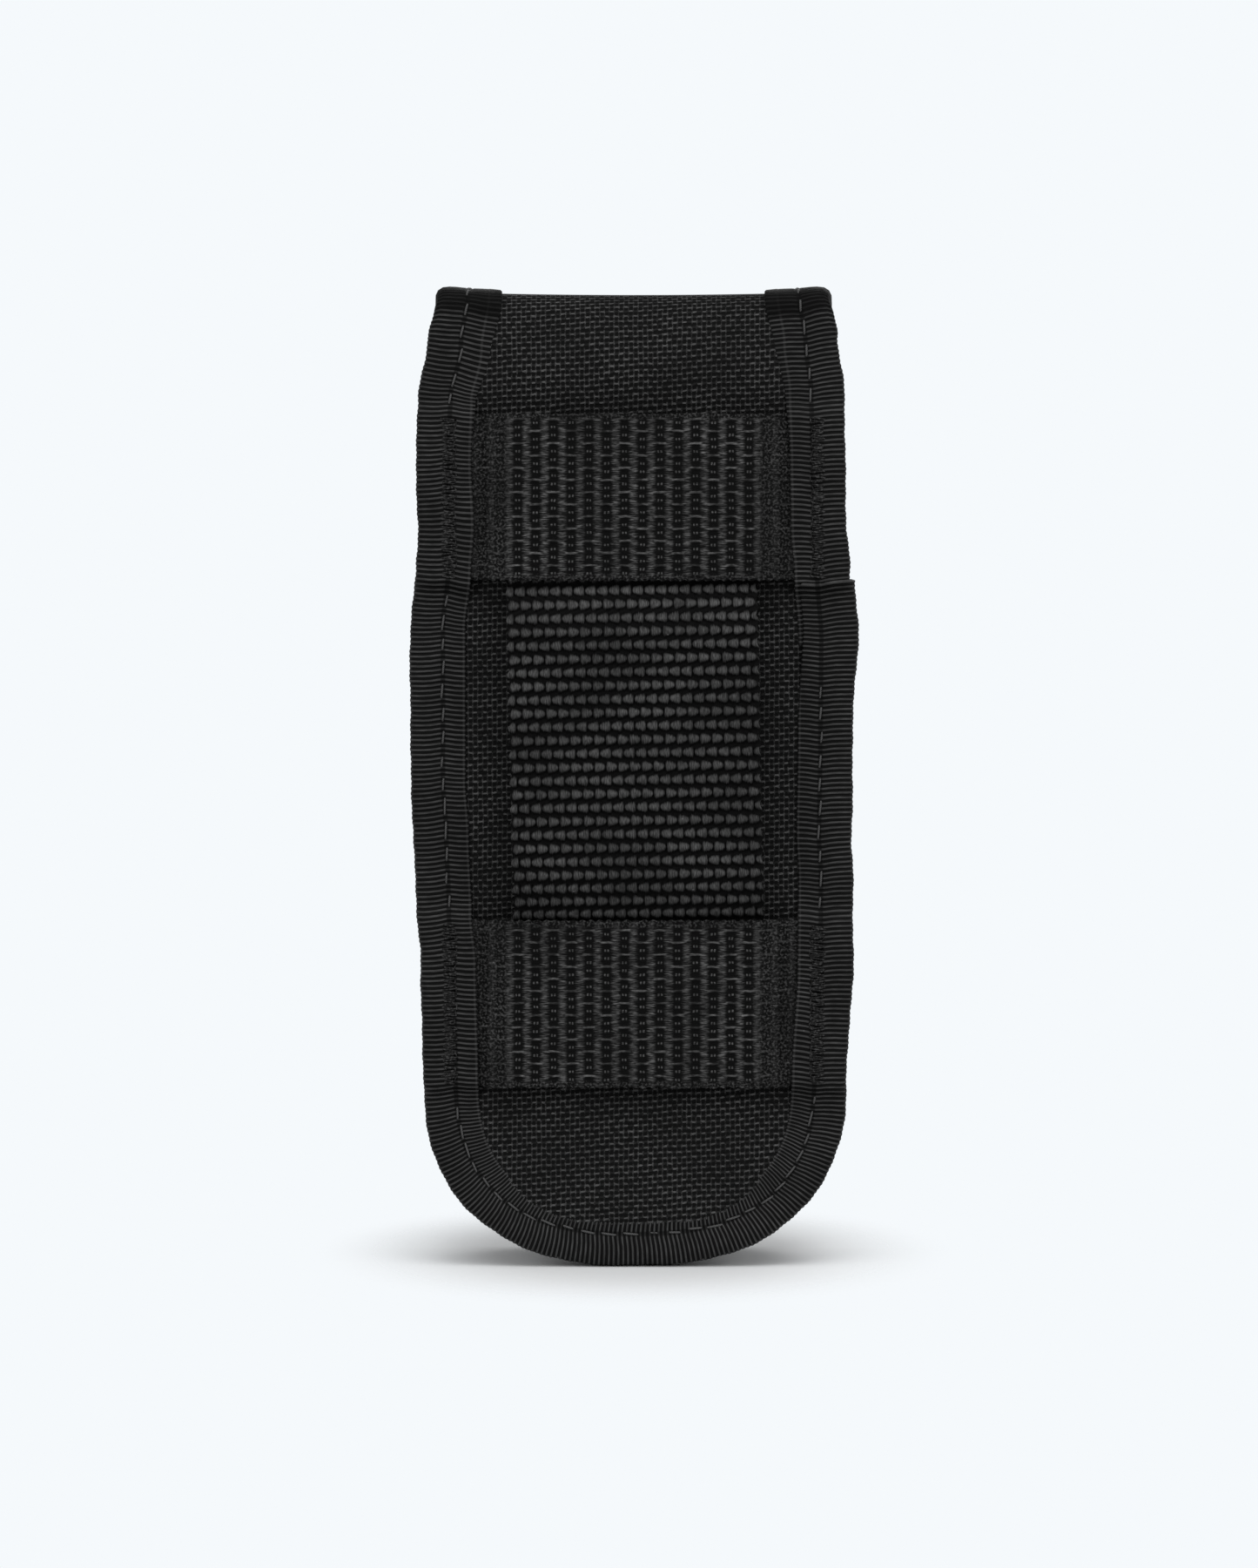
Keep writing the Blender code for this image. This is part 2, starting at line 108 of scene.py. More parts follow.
def soft_box(name, place, size, power):
    """A square area light that looks at the middle of the sheath."""
    light = new_object(name, bpy.data.lights.new(name, "AREA"))
    light.location = place
    light.rotation_euler = Vector(place).to_track_quat("Z", "Y").to_euler()
    light.data.size = size
    light.data.energy = power


soft_box("top_box", (0.1, -0.35, 0.9), 0.6, 3.1)
soft_box("left_box", (-0.9, -0.8, 0.35), 0.7, 4.0)
soft_box("right_box", (0.9, -0.7, 0.30), 0.7, 3.5)
soft_box("rear_box", (0.2, 1.0, 0.6), 0.7, 1.8)


class Level:
    """A value in a shader tree, reckoned with like a plain number."""

    def __init__(self, tree, socket):
        self.tree, self.socket = tree, socket

    def calc(self, operation, *others):
        return shade(self.tree, "Math", self, *others, operation=operation)

    def __add__(self, other):
        return self.calc("ADD", other)

    def __sub__(self, other):
        return self.calc("SUBTRACT", other)

    def __rsub__(self, other):
        return shade(self.tree, "Math", other, self, operation="SUBTRACT")

    def __mul__(self, other):
        return self.calc("MULTIPLY", other)

    def __truediv__(self, other):
        return self.calc("DIVIDE", other)

    def __pow__(self, other):
        return self.calc("POWER", other)

    def __abs__(self):
        return self.calc("ABSOLUTE")

    __radd__ = __add__


def shade(tree, kind, *values, take=0, sockets=None, **settings):
    """Adds one shader node, fills its inputs in order with values or links, and returns the output to take."""
    made = tree.nodes.new("ShaderNode" + kind)
    for key, value in settings.items():
        setattr(made, key, value)
    filled = list(zip(made.inputs, values))
    filled += [(made.inputs[name], value) for name, value in (sockets or {}).items()]
    for socket, value in filled:
        if isinstance(value, Level):
            tree.links.new(value.socket, socket)
        else:
            socket.default_value = value
    return Level(tree, made.outputs[take]) if made.outputs else None


def ramp(value, low, high, start=0.0, end=1.0):
    return shade(value.tree, "MapRange", value, low, high, start, end, interpolation_type="SMOOTHSTEP")


def stretched(vector, scale):
    return shade(vector.tree, "VectorMath", vector, scale, operation="MULTIPLY")


world = bpy.data.worlds.new("pale_sweep")
bpy.context.scene.world = world
world.use_nodes = True
sky = world.node_tree
sky.nodes.clear()
unseen = shade(sky, "Background", (1.0, 1.0, 1.0, 1.0), 0.47)
seen = shade(sky, "Background", (0.915, 0.947, 0.973, 1.0))
shade(sky, "OutputWorld", shade(sky, "MixShader", shade(sky, "LightPath"), unseen, seen))


def only(piece=None):
    """Leaves just this piece selected, or nothing."""
    bpy.ops.object.select_all(action="DESELECT")
    if piece:
        piece.select_set(True)
        bpy.context.view_layer.objects.active = piece


# The sweep is solid under the sheath, to take its shadow, and fades out to the pale backdrop around it.
JUST_BELOW = (0.0, 0.0, GROUND - 0.1 * MM)
only()
bpy.ops.mesh.primitive_circle_add(vertices=96, radius=0.6, fill_type="NGON", location=JUST_BELOW)
floor = bpy.context.object
floor.name = "floor"
bpy.ops.object.transform_apply(location=True)
paper = bpy.data.materials.new("pale_paper")
paper.use_nodes = True
tree = paper.node_tree
tree.nodes.clear()
spot = stretched(shade(tree, "TexCoord", take="Object"), (1.5, 1.0, 0.0))
spot = shade(tree, "VectorMath", spot, (0.0, 0.024, 0.0), operation="SUBTRACT")
distance = shade(tree, "VectorMath", spot, take="Value", operation="LENGTH")
matte = shade(tree, "BsdfDiffuse", (0.93, 0.945, 0.955, 1.0))
clear = shade(tree, "BsdfTransparent")
shade(tree, "OutputMaterial", shade(tree, "MixShader", ramp(distance, 0.03, 0.076), matte, clear))
floor.data.materials.append(paper)

# ----------------------------------------------------------------------------------------------------
# Back panel cloth: coarse 1680-denier basket-weave nylon, cut as one tongue with the flap and lightly puffed
# by the foam behind it. It is held down only by the tape, the bands and the folds.
TALL = 149.5
TOP_RUN = 36.0
FRONT_FOLD = TALL + TOP_RUN
MID_TOP = TALL + TOP_RUN / 2.0
TAPE_FACE = -0.9
FOLD_LEAD = 8.0
END_RISE = 29.0
END_POWER = 2.4
TIP_RISE = 18.0
TIP_POWER = 2.6
TIP = FRONT_FOLD + TALL - 64.0
MOUTH = 105.5
CLOSE_ROWS = 9.0

FLAP_SIDE = ((TALL, 30.1), (FRONT_FOLD, 30.2), (FRONT_FOLD + 15.5, 31.6), (TIP - TIP_RISE, 31.6))
LEFT_SIDE = (
    (29.0, 32.1), (46.0, 32.4), (54.0, 33.1), (66.0, 33.5), (74.0, 34.0), (98.0, 34.0), (107.0, 33.1),
    (113.0, 32.7), (123.0, 33.1), (133.0, 32.8), (141.0, 31.2), *FLAP_SIDE,
)  # fmt: skip
RIGHT_SIDE = (
    (29.0, 32.6), (46.0, 33.5), (60.0, 33.6), (66.0, 33.3), (80.0, 33.5), (96.0, 33.6), (107.0, 32.9),
    (113.0, 32.4), (123.0, 32.3), (134.0, 32.0), (142.0, 31.1), *FLAP_SIDE,
)  # fmt: skip


def eased(reach, radius):
    """The positive part of reach, with its corner rounded over this radius."""
    soft = (np.clip(reach, -radius, radius) + radius) ** 2 / (4.0 * radius)
    return np.where(reach > radius, reach, soft)


def fold_over(x, s, depth):
    """Folds the flat tongue over the top. depth is measured in from the outside of the binding."""
    x, s, depth = np.broadcast_arrays(*(np.asarray(place, float) for place in (x, s, depth)))
    radius = np.clip(3.2 - 0.5 * depth, 1.2, 4.0)
    squeeze = (FOLD_LEAD - depth) / FOLD_LEAD
    back, front = s - TALL, s - FRONT_FOLD
    near_back, near_front = back * squeeze, front * squeeze
    zones = [back < -FOLD_LEAD, back <= FOLD_LEAD, front < -FOLD_LEAD, front <= FOLD_LEAD]
    y = np.select(
        zones,
        [depth, depth + eased(near_back, radius), back, TOP_RUN - depth - eased(-near_front, radius)],
        TOP_RUN - depth,
    )
    z = np.select(
        zones, [-back, depth + eased(-near_back, radius), depth, depth + eased(near_front, radius)], front
    )
    return at(x, TAPE_FACE + y, TALL - z)


def rise(value, start, end, low=0.0, high=1.0):
    """Eases from low to high while the value goes from start to end."""
    share = np.clip((value - start) / (end - start), 0.0, 1.0)
    return low + (high - low) * share * share * (3.0 - 2.0 * share)


def side_width(stations, s):
    """Half width of one side at lengths along the tongue, eased from station to station."""
    lengths, widths = np.array(stations).T
    step = np.clip(np.searchsorted(lengths, s) - 1, 0, len(lengths) - 2)
    return rise(s, lengths[step], lengths[step + 1], widths[step], widths[step + 1])


def half_width(stations, s):
    """Half width of one side with the rounded ends of the tongue."""
    low = np.clip(1.0 - s / END_RISE, 0.0, 1.0)
    high = np.clip((s - TIP + TIP_RISE) / TIP_RISE, 0.0, 1.0)
    ends = (1.0 - low**END_POWER) ** (1.0 / END_POWER) * (1.0 - high**TIP_POWER) ** (1.0 / TIP_POWER)
    return side_width(stations, s) * ends


def rounded_rows(low, high, spacing):
    """Row positions at an even spacing, closer together where a rounded end narrows fast."""
    rows = list(np.linspace(low, high, max(2, round((high - low) / spacing)) + 1))
    for start, end, way in ((low, low + CLOSE_ROWS, 1), (high, high - CLOSE_ROWS, -1)):
        if (way > 0 and low < 4.0) or (way < 0 and high > TIP - 4.0):
            rows = [row for row in rows if (row - end) * way > 0.5]
            rows += [start + (end - start) * share**2 for share in np.linspace(0.0, 1.0, 11)]
    return np.array(sorted(rows))


def corner_points(mesh):
    """The point that each corner of each face stands on."""
    points = np.empty(len(mesh.loops), int)
    mesh.loops.foreach_get("vertex_index", points)
    return points


def cloth_grid(name, across, along, lay):
    """A grid of cloth, whose rows and columns lay turns into flat x, flat s and world points."""
    only()
    bpy.ops.mesh.primitive_grid_add(x_subdivisions=len(across) - 1, y_subdivisions=len(along) - 1, size=1.0)
    sheet = bpy.context.object
    sheet.name = sheet.data.name = name
    mesh = sheet.data
    corner = np.empty(len(mesh.vertices) * 3)
    mesh.vertices.foreach_get("co", corner)
    corner = corner.reshape(-1, 3) + 0.5
    column = np.rint(corner[:, 0] * (len(across) - 1)).astype(int)
    row = np.rint(corner[:, 1] * (len(along) - 1)).astype(int)
    flat_x, flat_s, points = lay(np.asarray(across)[column], np.asarray(along)[row])
    mesh.vertices.foreach_set("co", np.asarray(points, float).ravel())
    layer = mesh.uv_layers.active
    layer.name = "cloth"
    loops = corner_points(mesh)
    layer.data.foreach_set("uv", np.stack([flat_x[loops], flat_s[loops]], axis=-1).ravel())
    mesh.update()
    return sheet


def dress(piece, material):
    piece.data.materials.clear()
    piece.data.materials.append(material)


def finish_piece(piece, material, slot, *nodes):
    """Puts the finish on a piece and hides the CAD nodes that it stands for."""
    dress(piece, material)
    if nodes:
        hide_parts(*nodes)


def finish_sheet(sheet, thickness, material, slot, *nodes):
    """Gives a sheet its thickness, inwards from its outer face, smooths its shading and finishes it."""
    only(sheet)
    wall = sheet.modifiers.new("wall", "SOLIDIFY")
    wall.thickness = thickness * MM
    bpy.ops.object.modifier_apply(modifier=wall.name)
    bpy.ops.object.shade_smooth_by_angle(angle=math.radians(50.0))
    finish_piece(sheet, material, slot, *nodes)


def over_back_fold(piece):
    tuple(at(0.0, 0.0, 144.0))
    tuple(at(0.0, 5.0, TALL))
    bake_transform(piece)


def over_front_fold(piece):
    start, end = at(0.0, TAPE_FACE + TOP_RUN - 6.0, TALL), at(0.0, TAPE_FACE + TOP_RUN, TALL - 6.0)
    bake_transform(piece)


CLOTH_INSET = 0.9
CLOTH_DEPTH = 0.9
CLOTH_THICKNESS = 0.7
SEAM_REACH = 5.5
BANDS = ((27.8, 53.2), (105.0, 130.4))


def tongue_x(share, s, inset):
    """Flat x at a share from -1 to 1 across the tongue."""
    left = np.clip(half_width(LEFT_SIDE, s) - inset, 0.05, None)
    right = np.clip(half_width(RIGHT_SIDE, s) - inset, 0.05, None)
    return share * np.where(share < 0.0, left, right)


def bulge(x, s, low, high, most):
    """A soft crown between two seams across the tongue and the tape at its sides."""
    edge = np.where(x < 0.0, half_width(LEFT_SIDE, s), half_width(RIGHT_SIDE, s)) - np.abs(x)
    side = np.clip((edge - SEAM_REACH) / 12.0, 0.0, 1.0)
    along = np.clip(np.minimum(s - low, high - s) / 9.0, 0.0, 1.0)
    return most * np.sin(side * math.pi / 2.0) * np.sin(along * math.pi / 2.0)


def back_crown(x, s):
    return bulge(x, s, 3.0, 29.0, 1.2) + bulge(x, s, 52.0, 106.0, 0.7) + bulge(x, s, 129.0, 146.0, 0.9)


def top_sag(x, s):
    """The cloth of the top hangs a little between the tapes at its sides."""
    near = rise(np.minimum(s - TALL, FRONT_FOLD - s), -5.0, 0.0)
    return 0.3 * np.clip(1.0 - (x / 24.0) ** 2, 0.0, 1.0) * near


def lay_back(share, s):
    x = tongue_x(share, s, CLOTH_INSET)
    return x, s, fold_over(x, s, CLOTH_DEPTH - back_crown(x, s) + top_sag(x, s))


ACROSS = np.linspace(-1.0, 1.0, 57)
back_cloth = cloth_grid("back_panel_cloth", ACROSS, rounded_rows(CLOTH_INSET, MID_TOP, 1.1), lay_back)


def by_name(tree, sockets):
    return {socket.name: Level(tree, socket) for socket in sockets}


def node_group(name, **inputs):
    """A new shader node group and its inputs: each a number or vector to start from, or None for a map."""
    group = bpy.data.node_groups.new(name, "ShaderNodeTree")
    for label, value in inputs.items():
        kind = "NodeSocketFloat" if isinstance(value, float) else "NodeSocketVector"
        socket = group.interface.new_socket(label.replace("_", " "), in_out="INPUT", socket_type=kind)
        if value is not None:
            socket.default_value = value
    return group, by_name(group, group.nodes.new("NodeGroupInput").outputs)


def put_out(group, **results):
    """Gives a node group its named outputs."""
    for label in results:
        group.interface.new_socket(label, in_out="OUTPUT", socket_type="NodeSocketFloat")
    ends = group.nodes.new("NodeGroupOutput")
    for label, value in results.items():
        group.links.new(value.socket, ends.inputs[label])


def placed(group, cloth, **inputs):
    """Places a node group in a material and returns its outputs."""
    sockets = {label.replace("_", " "): value for label, value in inputs.items()}
    shade(cloth.tree, "Group", sockets={"Cloth": cloth, **sockets}, node_tree=group)
    return by_name(cloth.tree, cloth.tree.nodes[-1].outputs)


def laid_flat(cloth):
    """The measures across and along the flat cloth."""
    shade(cloth.tree, "SeparateXYZ", cloth)
    flat = by_name(cloth.tree, cloth.tree.nodes[-1].outputs)
    return flat["X"], flat["Y"]


def noise(vector, scale, detail):
    return shade(vector.tree, "TexNoise", sockets={"Vector": vector, "Scale": scale, "Detail": detail})


def cells(vector, scale):
    """How far each place is from the middle of its cell."""
    return shade(vector.tree, "TexVoronoi", sockets={"Vector": vector, "Scale": scale})


def new_material(name, roughness, specular, sheen=0.0, solid=False):
    """A material, and what its pattern follows: the flat cloth, or the place in a solid piece."""
    material = bpy.data.materials.new(name)
    material.use_nodes = True
    tree = material.node_tree
    shader = tree.nodes["Principled BSDF"].inputs
    shader["Roughness"].default_value = roughness
    shader["Specular IOR Level"].default_value = specular
    shader["Sheen Weight"].default_value = sheen
    if solid:
        return material, shade(tree, "TexCoord", take="Object")
    return material, shade(tree, "UVMap", uv_map="cloth")


def dye_and_painted_light(material, grey, height=None, stand=0.0):
    """Colours a material, with any painted highlights and shade in its grey, and raises it by a height of 0 to
    1 that stands this many millimetres.
    """
    shader = material.node_tree.nodes["Principled BSDF"].inputs
    grey.tree.links.new(grey.socket, shader["Base Color"])
    if height:
        bump = shade(grey.tree, "Bump", sockets={"Height": height, "Distance": stand * MM, "Strength": 1.0})
        grey.tree.links.new(bump.socket, shader["Normal"])


# Weave: over threads run across as short dashes, and the threads that they cross show as thin upright lines.
weave, given = node_group(
    "basket_weave", Cloth=None, Thread_Pitch=0.74, Row_Pitch=0.885, Slant=0.062, Wander=0.35
)
cloth = given["Cloth"]
drift = (noise(cloth, 0.12, 1.0) - 0.5) * given["Wander"]
jitter = (noise(cloth, 1.3, 1.0) - 0.5) * 0.28
across, along = laid_flat(cloth)
turn_x = (across + drift + jitter) * math.pi / given["Thread Pitch"]
turn_s = (along - across * given["Slant"] + drift * 1.6 + jitter) * math.pi / given["Row Pitch"]
wave_x, wave_s = turn_x.calc("SINE"), turn_s.calc("SINE")
cell = abs(wave_x) ** 0.28 * abs(wave_s) ** 3.0 * (wave_x * wave_s).calc("SIGN")
dash = ramp(cell, 0.32, 0.8)
upright = ramp(abs(turn_x.calc("COSINE")), 0.8, 0.98) * ramp(noise(cloth, 0.9, 2.0), 0.32, 0.6)
upright = upright * ramp(abs(wave_s), 0.15, 0.7, 0.2, 1.0)
under = ramp(cell, -0.2, -0.8) * 0.45
height = dash.calc("MAXIMUM", under).calc("MAXIMUM", upright * 0.6)
put_out(weave, Dash=dash, Line=upright, Under=under, Height=height)

# Handling: uneven shade over the cloth, fine fibre streaks and a few specks of lint.
handled, given = node_group("handled_cloth", Cloth=None, Streak=(6.0, 1.2, 1.0), Patchiness=0.5)
cloth = given["Cloth"]
patch = (ramp(noise(cloth, 0.09, 3.0), 0.3, 0.7) - 0.5) * given["Patchiness"] + 1.0
fibre = ramp(noise(stretched(cloth, given["Streak"]), 1.0, 3.0), 0.3, 0.7)
put_out(handled, Shade=patch, Fibre=fibre, Lint=ramp(cells(cloth, 0.16), 0.03, 0.012))

nylon, cloth = new_material("ballistic_nylon_cloth", 0.62, 0.04)
woven = placed(weave, cloth)
worn = placed(handled, cloth, Streak=(1.5, 6.0, 1.0))
# Painted highlight: the yarns' sheen is painted into the colour, light on the over-thread dashes, the upright
# lines and the under threads, with little real specular.
painted_highlight = woven["Dash"] * 0.066 + woven["Line"] * 0.046 + woven["Under"] * 0.022
painted_highlight = painted_highlight * ((0.6 + worn["Fibre"] * 0.8) * worn["Shade"])
dye_and_painted_light(nylon, 0.005 + painted_highlight + worn["Lint"] * 0.12, woven["Height"], 0.22)

finish_sheet(back_cloth, CLOTH_THICKNESS, nylon, "ballistic_nylon", "back_panel_shell")
over_back_fold(back_cloth)

# ----------------------------------------------------------------------------------------------------
# Flap cloth: the same tongue carried on over the top and down the front to its rounded tip. Its foam puffs it
# between the front fold and the tip, and over the top it sags a little.

def flap_crown(x, s):
    return bulge(x, s, FRONT_FOLD + 2.0, TIP - 6.0, 1.4) - top_sag(x, s)


def lay_flap(share, s):
    x = tongue_x(share, s, CLOTH_INSET)
    return x, s, fold_over(x, s, CLOTH_DEPTH - flap_crown(x, s))


flap_cloth = cloth_grid("flap_cloth", ACROSS, rounded_rows(MID_TOP, TIP - CLOTH_INSET, 1.1), lay_flap)
finish_sheet(flap_cloth, CLOTH_THICKNESS, nylon, "ballistic_nylon", "flap_top_shell", "flap_front_shell")
over_front_fold(flap_cloth)

# ----------------------------------------------------------------------------------------------------
# Linings: smooth, finely woven pack cloth on the inside of the tongue, caught in the same binding.
BACK_LINING_DEPTH = 4.5
FLAP_LINING_DEPTH = 3.8
LINING_THICKNESS = 0.45


def lay_lining(share, s):
    x = tongue_x(share, s, CLOTH_INSET)
    return x, s, fold_over(x, s, rise(s, TALL - 5.0, TALL + 5.0, BACK_LINING_DEPTH, FLAP_LINING_DEPTH))


pack_cloth, cloth = new_material("pack_cloth_lining", 0.5, 0.2)
woven = placed(weave, cloth, Thread_Pitch=0.32, Row_Pitch=0.32, Slant=0.0, Wander=0.1)
worn = placed(handled, cloth, Streak=(3.0, 3.0, 1.0), Patchiness=0.35)
# Painted highlight: the raised threads of the weave are painted lighter.
dye_and_painted_light(pack_cloth, (0.006 + woven["Height"] * 0.02) * worn["Shade"], woven["Height"], 0.05)

back_lining = cloth_grid("back_lining_cloth", ACROSS[::2], rounded_rows(CLOTH_INSET, MID_TOP, 1.6), lay_lining)
finish_sheet(back_lining, LINING_THICKNESS, pack_cloth, "lining", "back_lining")
over_back_fold(back_lining)
flap_rows = rounded_rows(MID_TOP, TIP - CLOTH_INSET, 1.6)
flap_lining = cloth_grid("flap_lining_cloth", ACROSS[::2], flap_rows, lay_lining)
finish_sheet(flap_lining, LINING_THICKNESS, pack_cloth, "lining", "flap_top_lining", "flap_front_lining")
over_front_fold(flap_lining)

# ----------------------------------------------------------------------------------------------------
# Foam and stiffener: sheets of closed-cell foam between cloth and lining, cut back from the folds so that the
# flap bends freely, and a plastic board in the back.
FOAM_INSET = 1.9

foam, cloth = new_material("closed_cell_foam", 0.9, 0.2)
# Painted shade in the hollows of the bubbles, with their cell walls lighter.
bubbles = cells(cloth, 2.2)
dye_and_painted_light(foam, 0.035 + bubbles * 0.04, bubbles, 0.1)


def foam_sheet(name, low, high, depth, thickness, node, body):
    def lay(share, s):
        x = tongue_x(share, s, FOAM_INSET)
        return x, s, fold_over(x, s, depth)

    sheet = cloth_grid(name, ACROSS[::4], rounded_rows(low, high, 3.0), lay)
    finish_sheet(sheet, thickness, foam, "foam", node)
    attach(sheet, body)


foam_sheet("back_foam_sheet", FOAM_INSET, 140.0, 1.95, 1.1, "back_foam", "pouch")
foam_sheet("top_foam_sheet", TALL + 7.0, FRONT_FOLD - 7.5, 2.2, 1.4, "flap_top_foam", "flap_top")
foam_sheet("flap_foam_sheet", FRONT_FOLD + 7.5, TIP - FOAM_INSET, 1.95, 1.5, "flap_front_foam", "flap_front")

board, place = new_material("moulded_board", 0.45, 0.5, solid=True)
grain = noise(place, 900.0, 3.0)
dye_and_painted_light(board, 0.02 + grain * 0.015, grain, 0.03)
dress(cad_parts["back_stiffener"], board)

# ----------------------------------------------------------------------------------------------------
# Belt strap: 38 mm heavy nylon webbing that stands off the back between the two cross bands. Its floats lie in
# rows like bricks, and it leans a little from true.
STRAP_HALF = 18.95
STRAP_WALL = 1.6
STRAP_OUT = 7.35
FLOAT_PITCH = 1.79
FLOAT_ROW = 2.05
RELIEF = 0.6
STRAP_SLANT = 0.016


def strap_out(z):
    """How far the strap's outer face stands off the back cloth."""
    return np.minimum(rise(z, 49.7, 61.5, 2.1, STRAP_OUT), rise(z, 108.5, 96.5, 2.1, STRAP_OUT))


def strap_centre(z):
    return -0.27 + (105.0 - z) * 1.07 / 52.0


def float_relief(x, s):
    """Height from 0 to 1 of the webbing's floats: pillows in rows, every other row shifted by half."""
    slanted = s - STRAP_SLANT * x
    row = np.floor(slanted / FLOAT_ROW)
    up = slanted / FLOAT_ROW - row - 0.5
    across = x / FLOAT_PITCH + 0.5 * np.mod(row, 2.0)
    side = across - np.floor(across) - 0.5
    lean = np.where(np.mod(row, 2.0) > 0.5, side, -side)
    half_tall = 0.5 - 0.2 * (lean + 0.5)
    return np.clip(1.0 - (np.abs(side) / 0.51) ** 4.0 - (np.abs(up) / half_tall) ** 2.2, 0.0, 1.0) ** 0.6


def lay_strap(x, z):
    lift = RELIEF * float_relief(x, z) * np.clip((STRAP_HALF - np.abs(x)) / 0.4, 0.25, 1.0)
    at_edge = np.clip(1.0 - (STRAP_HALF - np.abs(x)) / 0.5, 0.0, 1.0)
    edge = 0.18 * np.sin(z * 2.0 * math.pi / FLOAT_ROW) * at_edge
    place = x + np.sign(x) * edge + strap_centre(z)
    return x, z, at(place, -(strap_out(z) - RELIEF + lift), z)


fine = np.arange(51.0, 107.0, 0.262)
strap_rows = np.concatenate([np.arange(30.0, 51.0, 1.5), fine, np.arange(107.2, 128.1, 1.5)])
strap = cloth_grid("belt_strap_webbing", np.linspace(-STRAP_HALF, STRAP_HALF, 145), strap_rows, lay_strap)

# Webbing finish: painted highlights on the hairy crests, over the dark troughs, read from the same brick
# pattern as the relief.
bricks, given = node_group("webbing_floats", Cloth=None, Pitch=FLOAT_PITCH, Row=FLOAT_ROW, Slant=STRAP_SLANT)
across, along = laid_flat(given["Cloth"])
rows = (along - across * given["Slant"]) / given["Row"]
row = rows.calc("FLOOR")
odd = row.calc("FLOORED_MODULO", 2.0)
up = abs(rows - row - 0.5)
side = (across / given["Pitch"] + odd * 0.5).calc("FRACT") - 0.5
lean = side * (odd * 2.0 - 1.0)
hair = noise(stretched(given["Cloth"], (7.0, 1.0, 1.0)), 1.0, 2.0)
half_tall = (0.5 - (lean + 0.5) * 0.27) * (0.55 + hair)
put_out(bricks, Crest=ramp((up / half_tall) ** 2.0 + (abs(side) / 0.5) ** 5.0, 0.95, 0.0))

strap_finish, cloth = new_material("strap_webbing", 0.55, 0.04)
worn = placed(handled, cloth, Streak=(6.5, 1.0, 1.0))
# Painted highlight on the crests of the floats.
painted_highlight = placed(bricks, cloth)["Crest"] * (0.35 + worn["Fibre"] * 0.95) * worn["Shade"]
dye_and_painted_light(strap_finish, 0.0035 + painted_highlight * 0.066 + worn["Lint"] * 0.1, worn["Fibre"], 0.06)
finish_sheet(strap, STRAP_WALL, strap_finish, "webbing", "belt_strap")
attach(strap, "pouch")

# ----------------------------------------------------------------------------------------------------
# Cross bands: two lengths of 25 mm webbing laid across the strap's ends, with upright ribs and the warp
# showing as short rungs between them. Their ends go under the binding.
BAND_HALF = 31.2
BAND_WALL = 1.4
RIB_PITCH = 2.7
RUNG_PITCH = 3.7
BAND_RELIEF = 0.36


def band_out(x):
    """How far a band's outer face stands off the back cloth: flat at its ends, raised over the strap."""
    return rise(np.abs(x), 24.6, 19.4, 1.8, 4.65)


def band_relief(x, z):
    """Height from 0 to 1 of the band's upright ribs and of the rungs between them."""
    rib = np.clip(np.cos(x * 2.0 * math.pi / RIB_PITCH) * 0.5 + 0.5, 0.0, 1.0)
    lumps = 0.8 + 0.2 * np.cos(z * 2.0 * math.pi / 1.24 + 1.3 * np.sin(x * 1.7))
    valley = np.floor(x / RIB_PITCH)
    shifted = z / RUNG_PITCH + 0.5 * np.mod(valley, 2.0)
    rung = np.exp(-(((shifted - np.floor(shifted) - 0.5) * RUNG_PITCH / 0.22) ** 2))
    return np.maximum(rib**0.8 * lumps, 0.75 * rung)


def lay_band(low, high):
    def lay(x, z):
        edge = np.clip(np.minimum(z - low, high - z) / 0.5, 0.0, 1.0)
        lift = BAND_RELIEF * band_relief(x, z) * (0.35 + 0.65 * edge)
        wave = 0.12 * np.sin(x * 2.0 * math.pi / 1.35) * (1.0 - edge)
        upper = z > (low + high) / 2.0
        return x, z, at(x, BAND_RELIEF - band_out(x) - lift, z + np.where(upper, wave, -wave))

    return lay


band_weave, given = node_group("band_ribs", Cloth=None, Pitch=RIB_PITCH, Rung=RUNG_PITCH)
cloth = given["Cloth"]
across, along = laid_flat(cloth)
wobble = noise(cloth, 0.7, 2.0) - 0.5
hairy = noise(stretched(cloth, (0.8, 5.5, 1.0)), 1.0, 3.0)
columns = (across + wobble * 0.4) / given["Pitch"]
inside = abs(columns.calc("FRACT") - 0.5)
climb = along + wobble * 0.3
zigzag = abs(((columns - 0.5) * 0.5).calc("FRACT") * 2.0 - 1.0) * 0.5
fan = abs((climb / (given["Rung"] / 3.0) + zigzag).calc("FRACT") - 0.5)
rib = ramp(inside + hairy * 0.3, 0.34, 0.62) * ramp(fan, 0.1, 0.4, 0.45, 1.0)
rib = rib * ramp(hairy, 0.36, 0.62, 0.06, 1.0)
odd = columns.calc("FLOOR").calc("FLOORED_MODULO", 2.0) * 0.5
within = abs((climb / given["Rung"] + odd).calc("FRACT") - 0.5)
rung = ramp(within, 0.06, 0.02) * ramp(inside, 0.42, 0.24)
rung = rung * ramp(noise(cloth, 0.6, 1.0), 0.35, 0.6, 0.25, 1.0)
dot = ramp(abs(inside - 0.085), 0.07, 0.02) * ramp(abs(within - 0.335), 0.07, 0.02)
put_out(band_weave, Rib=rib, Rung=rung, Dot=dot)
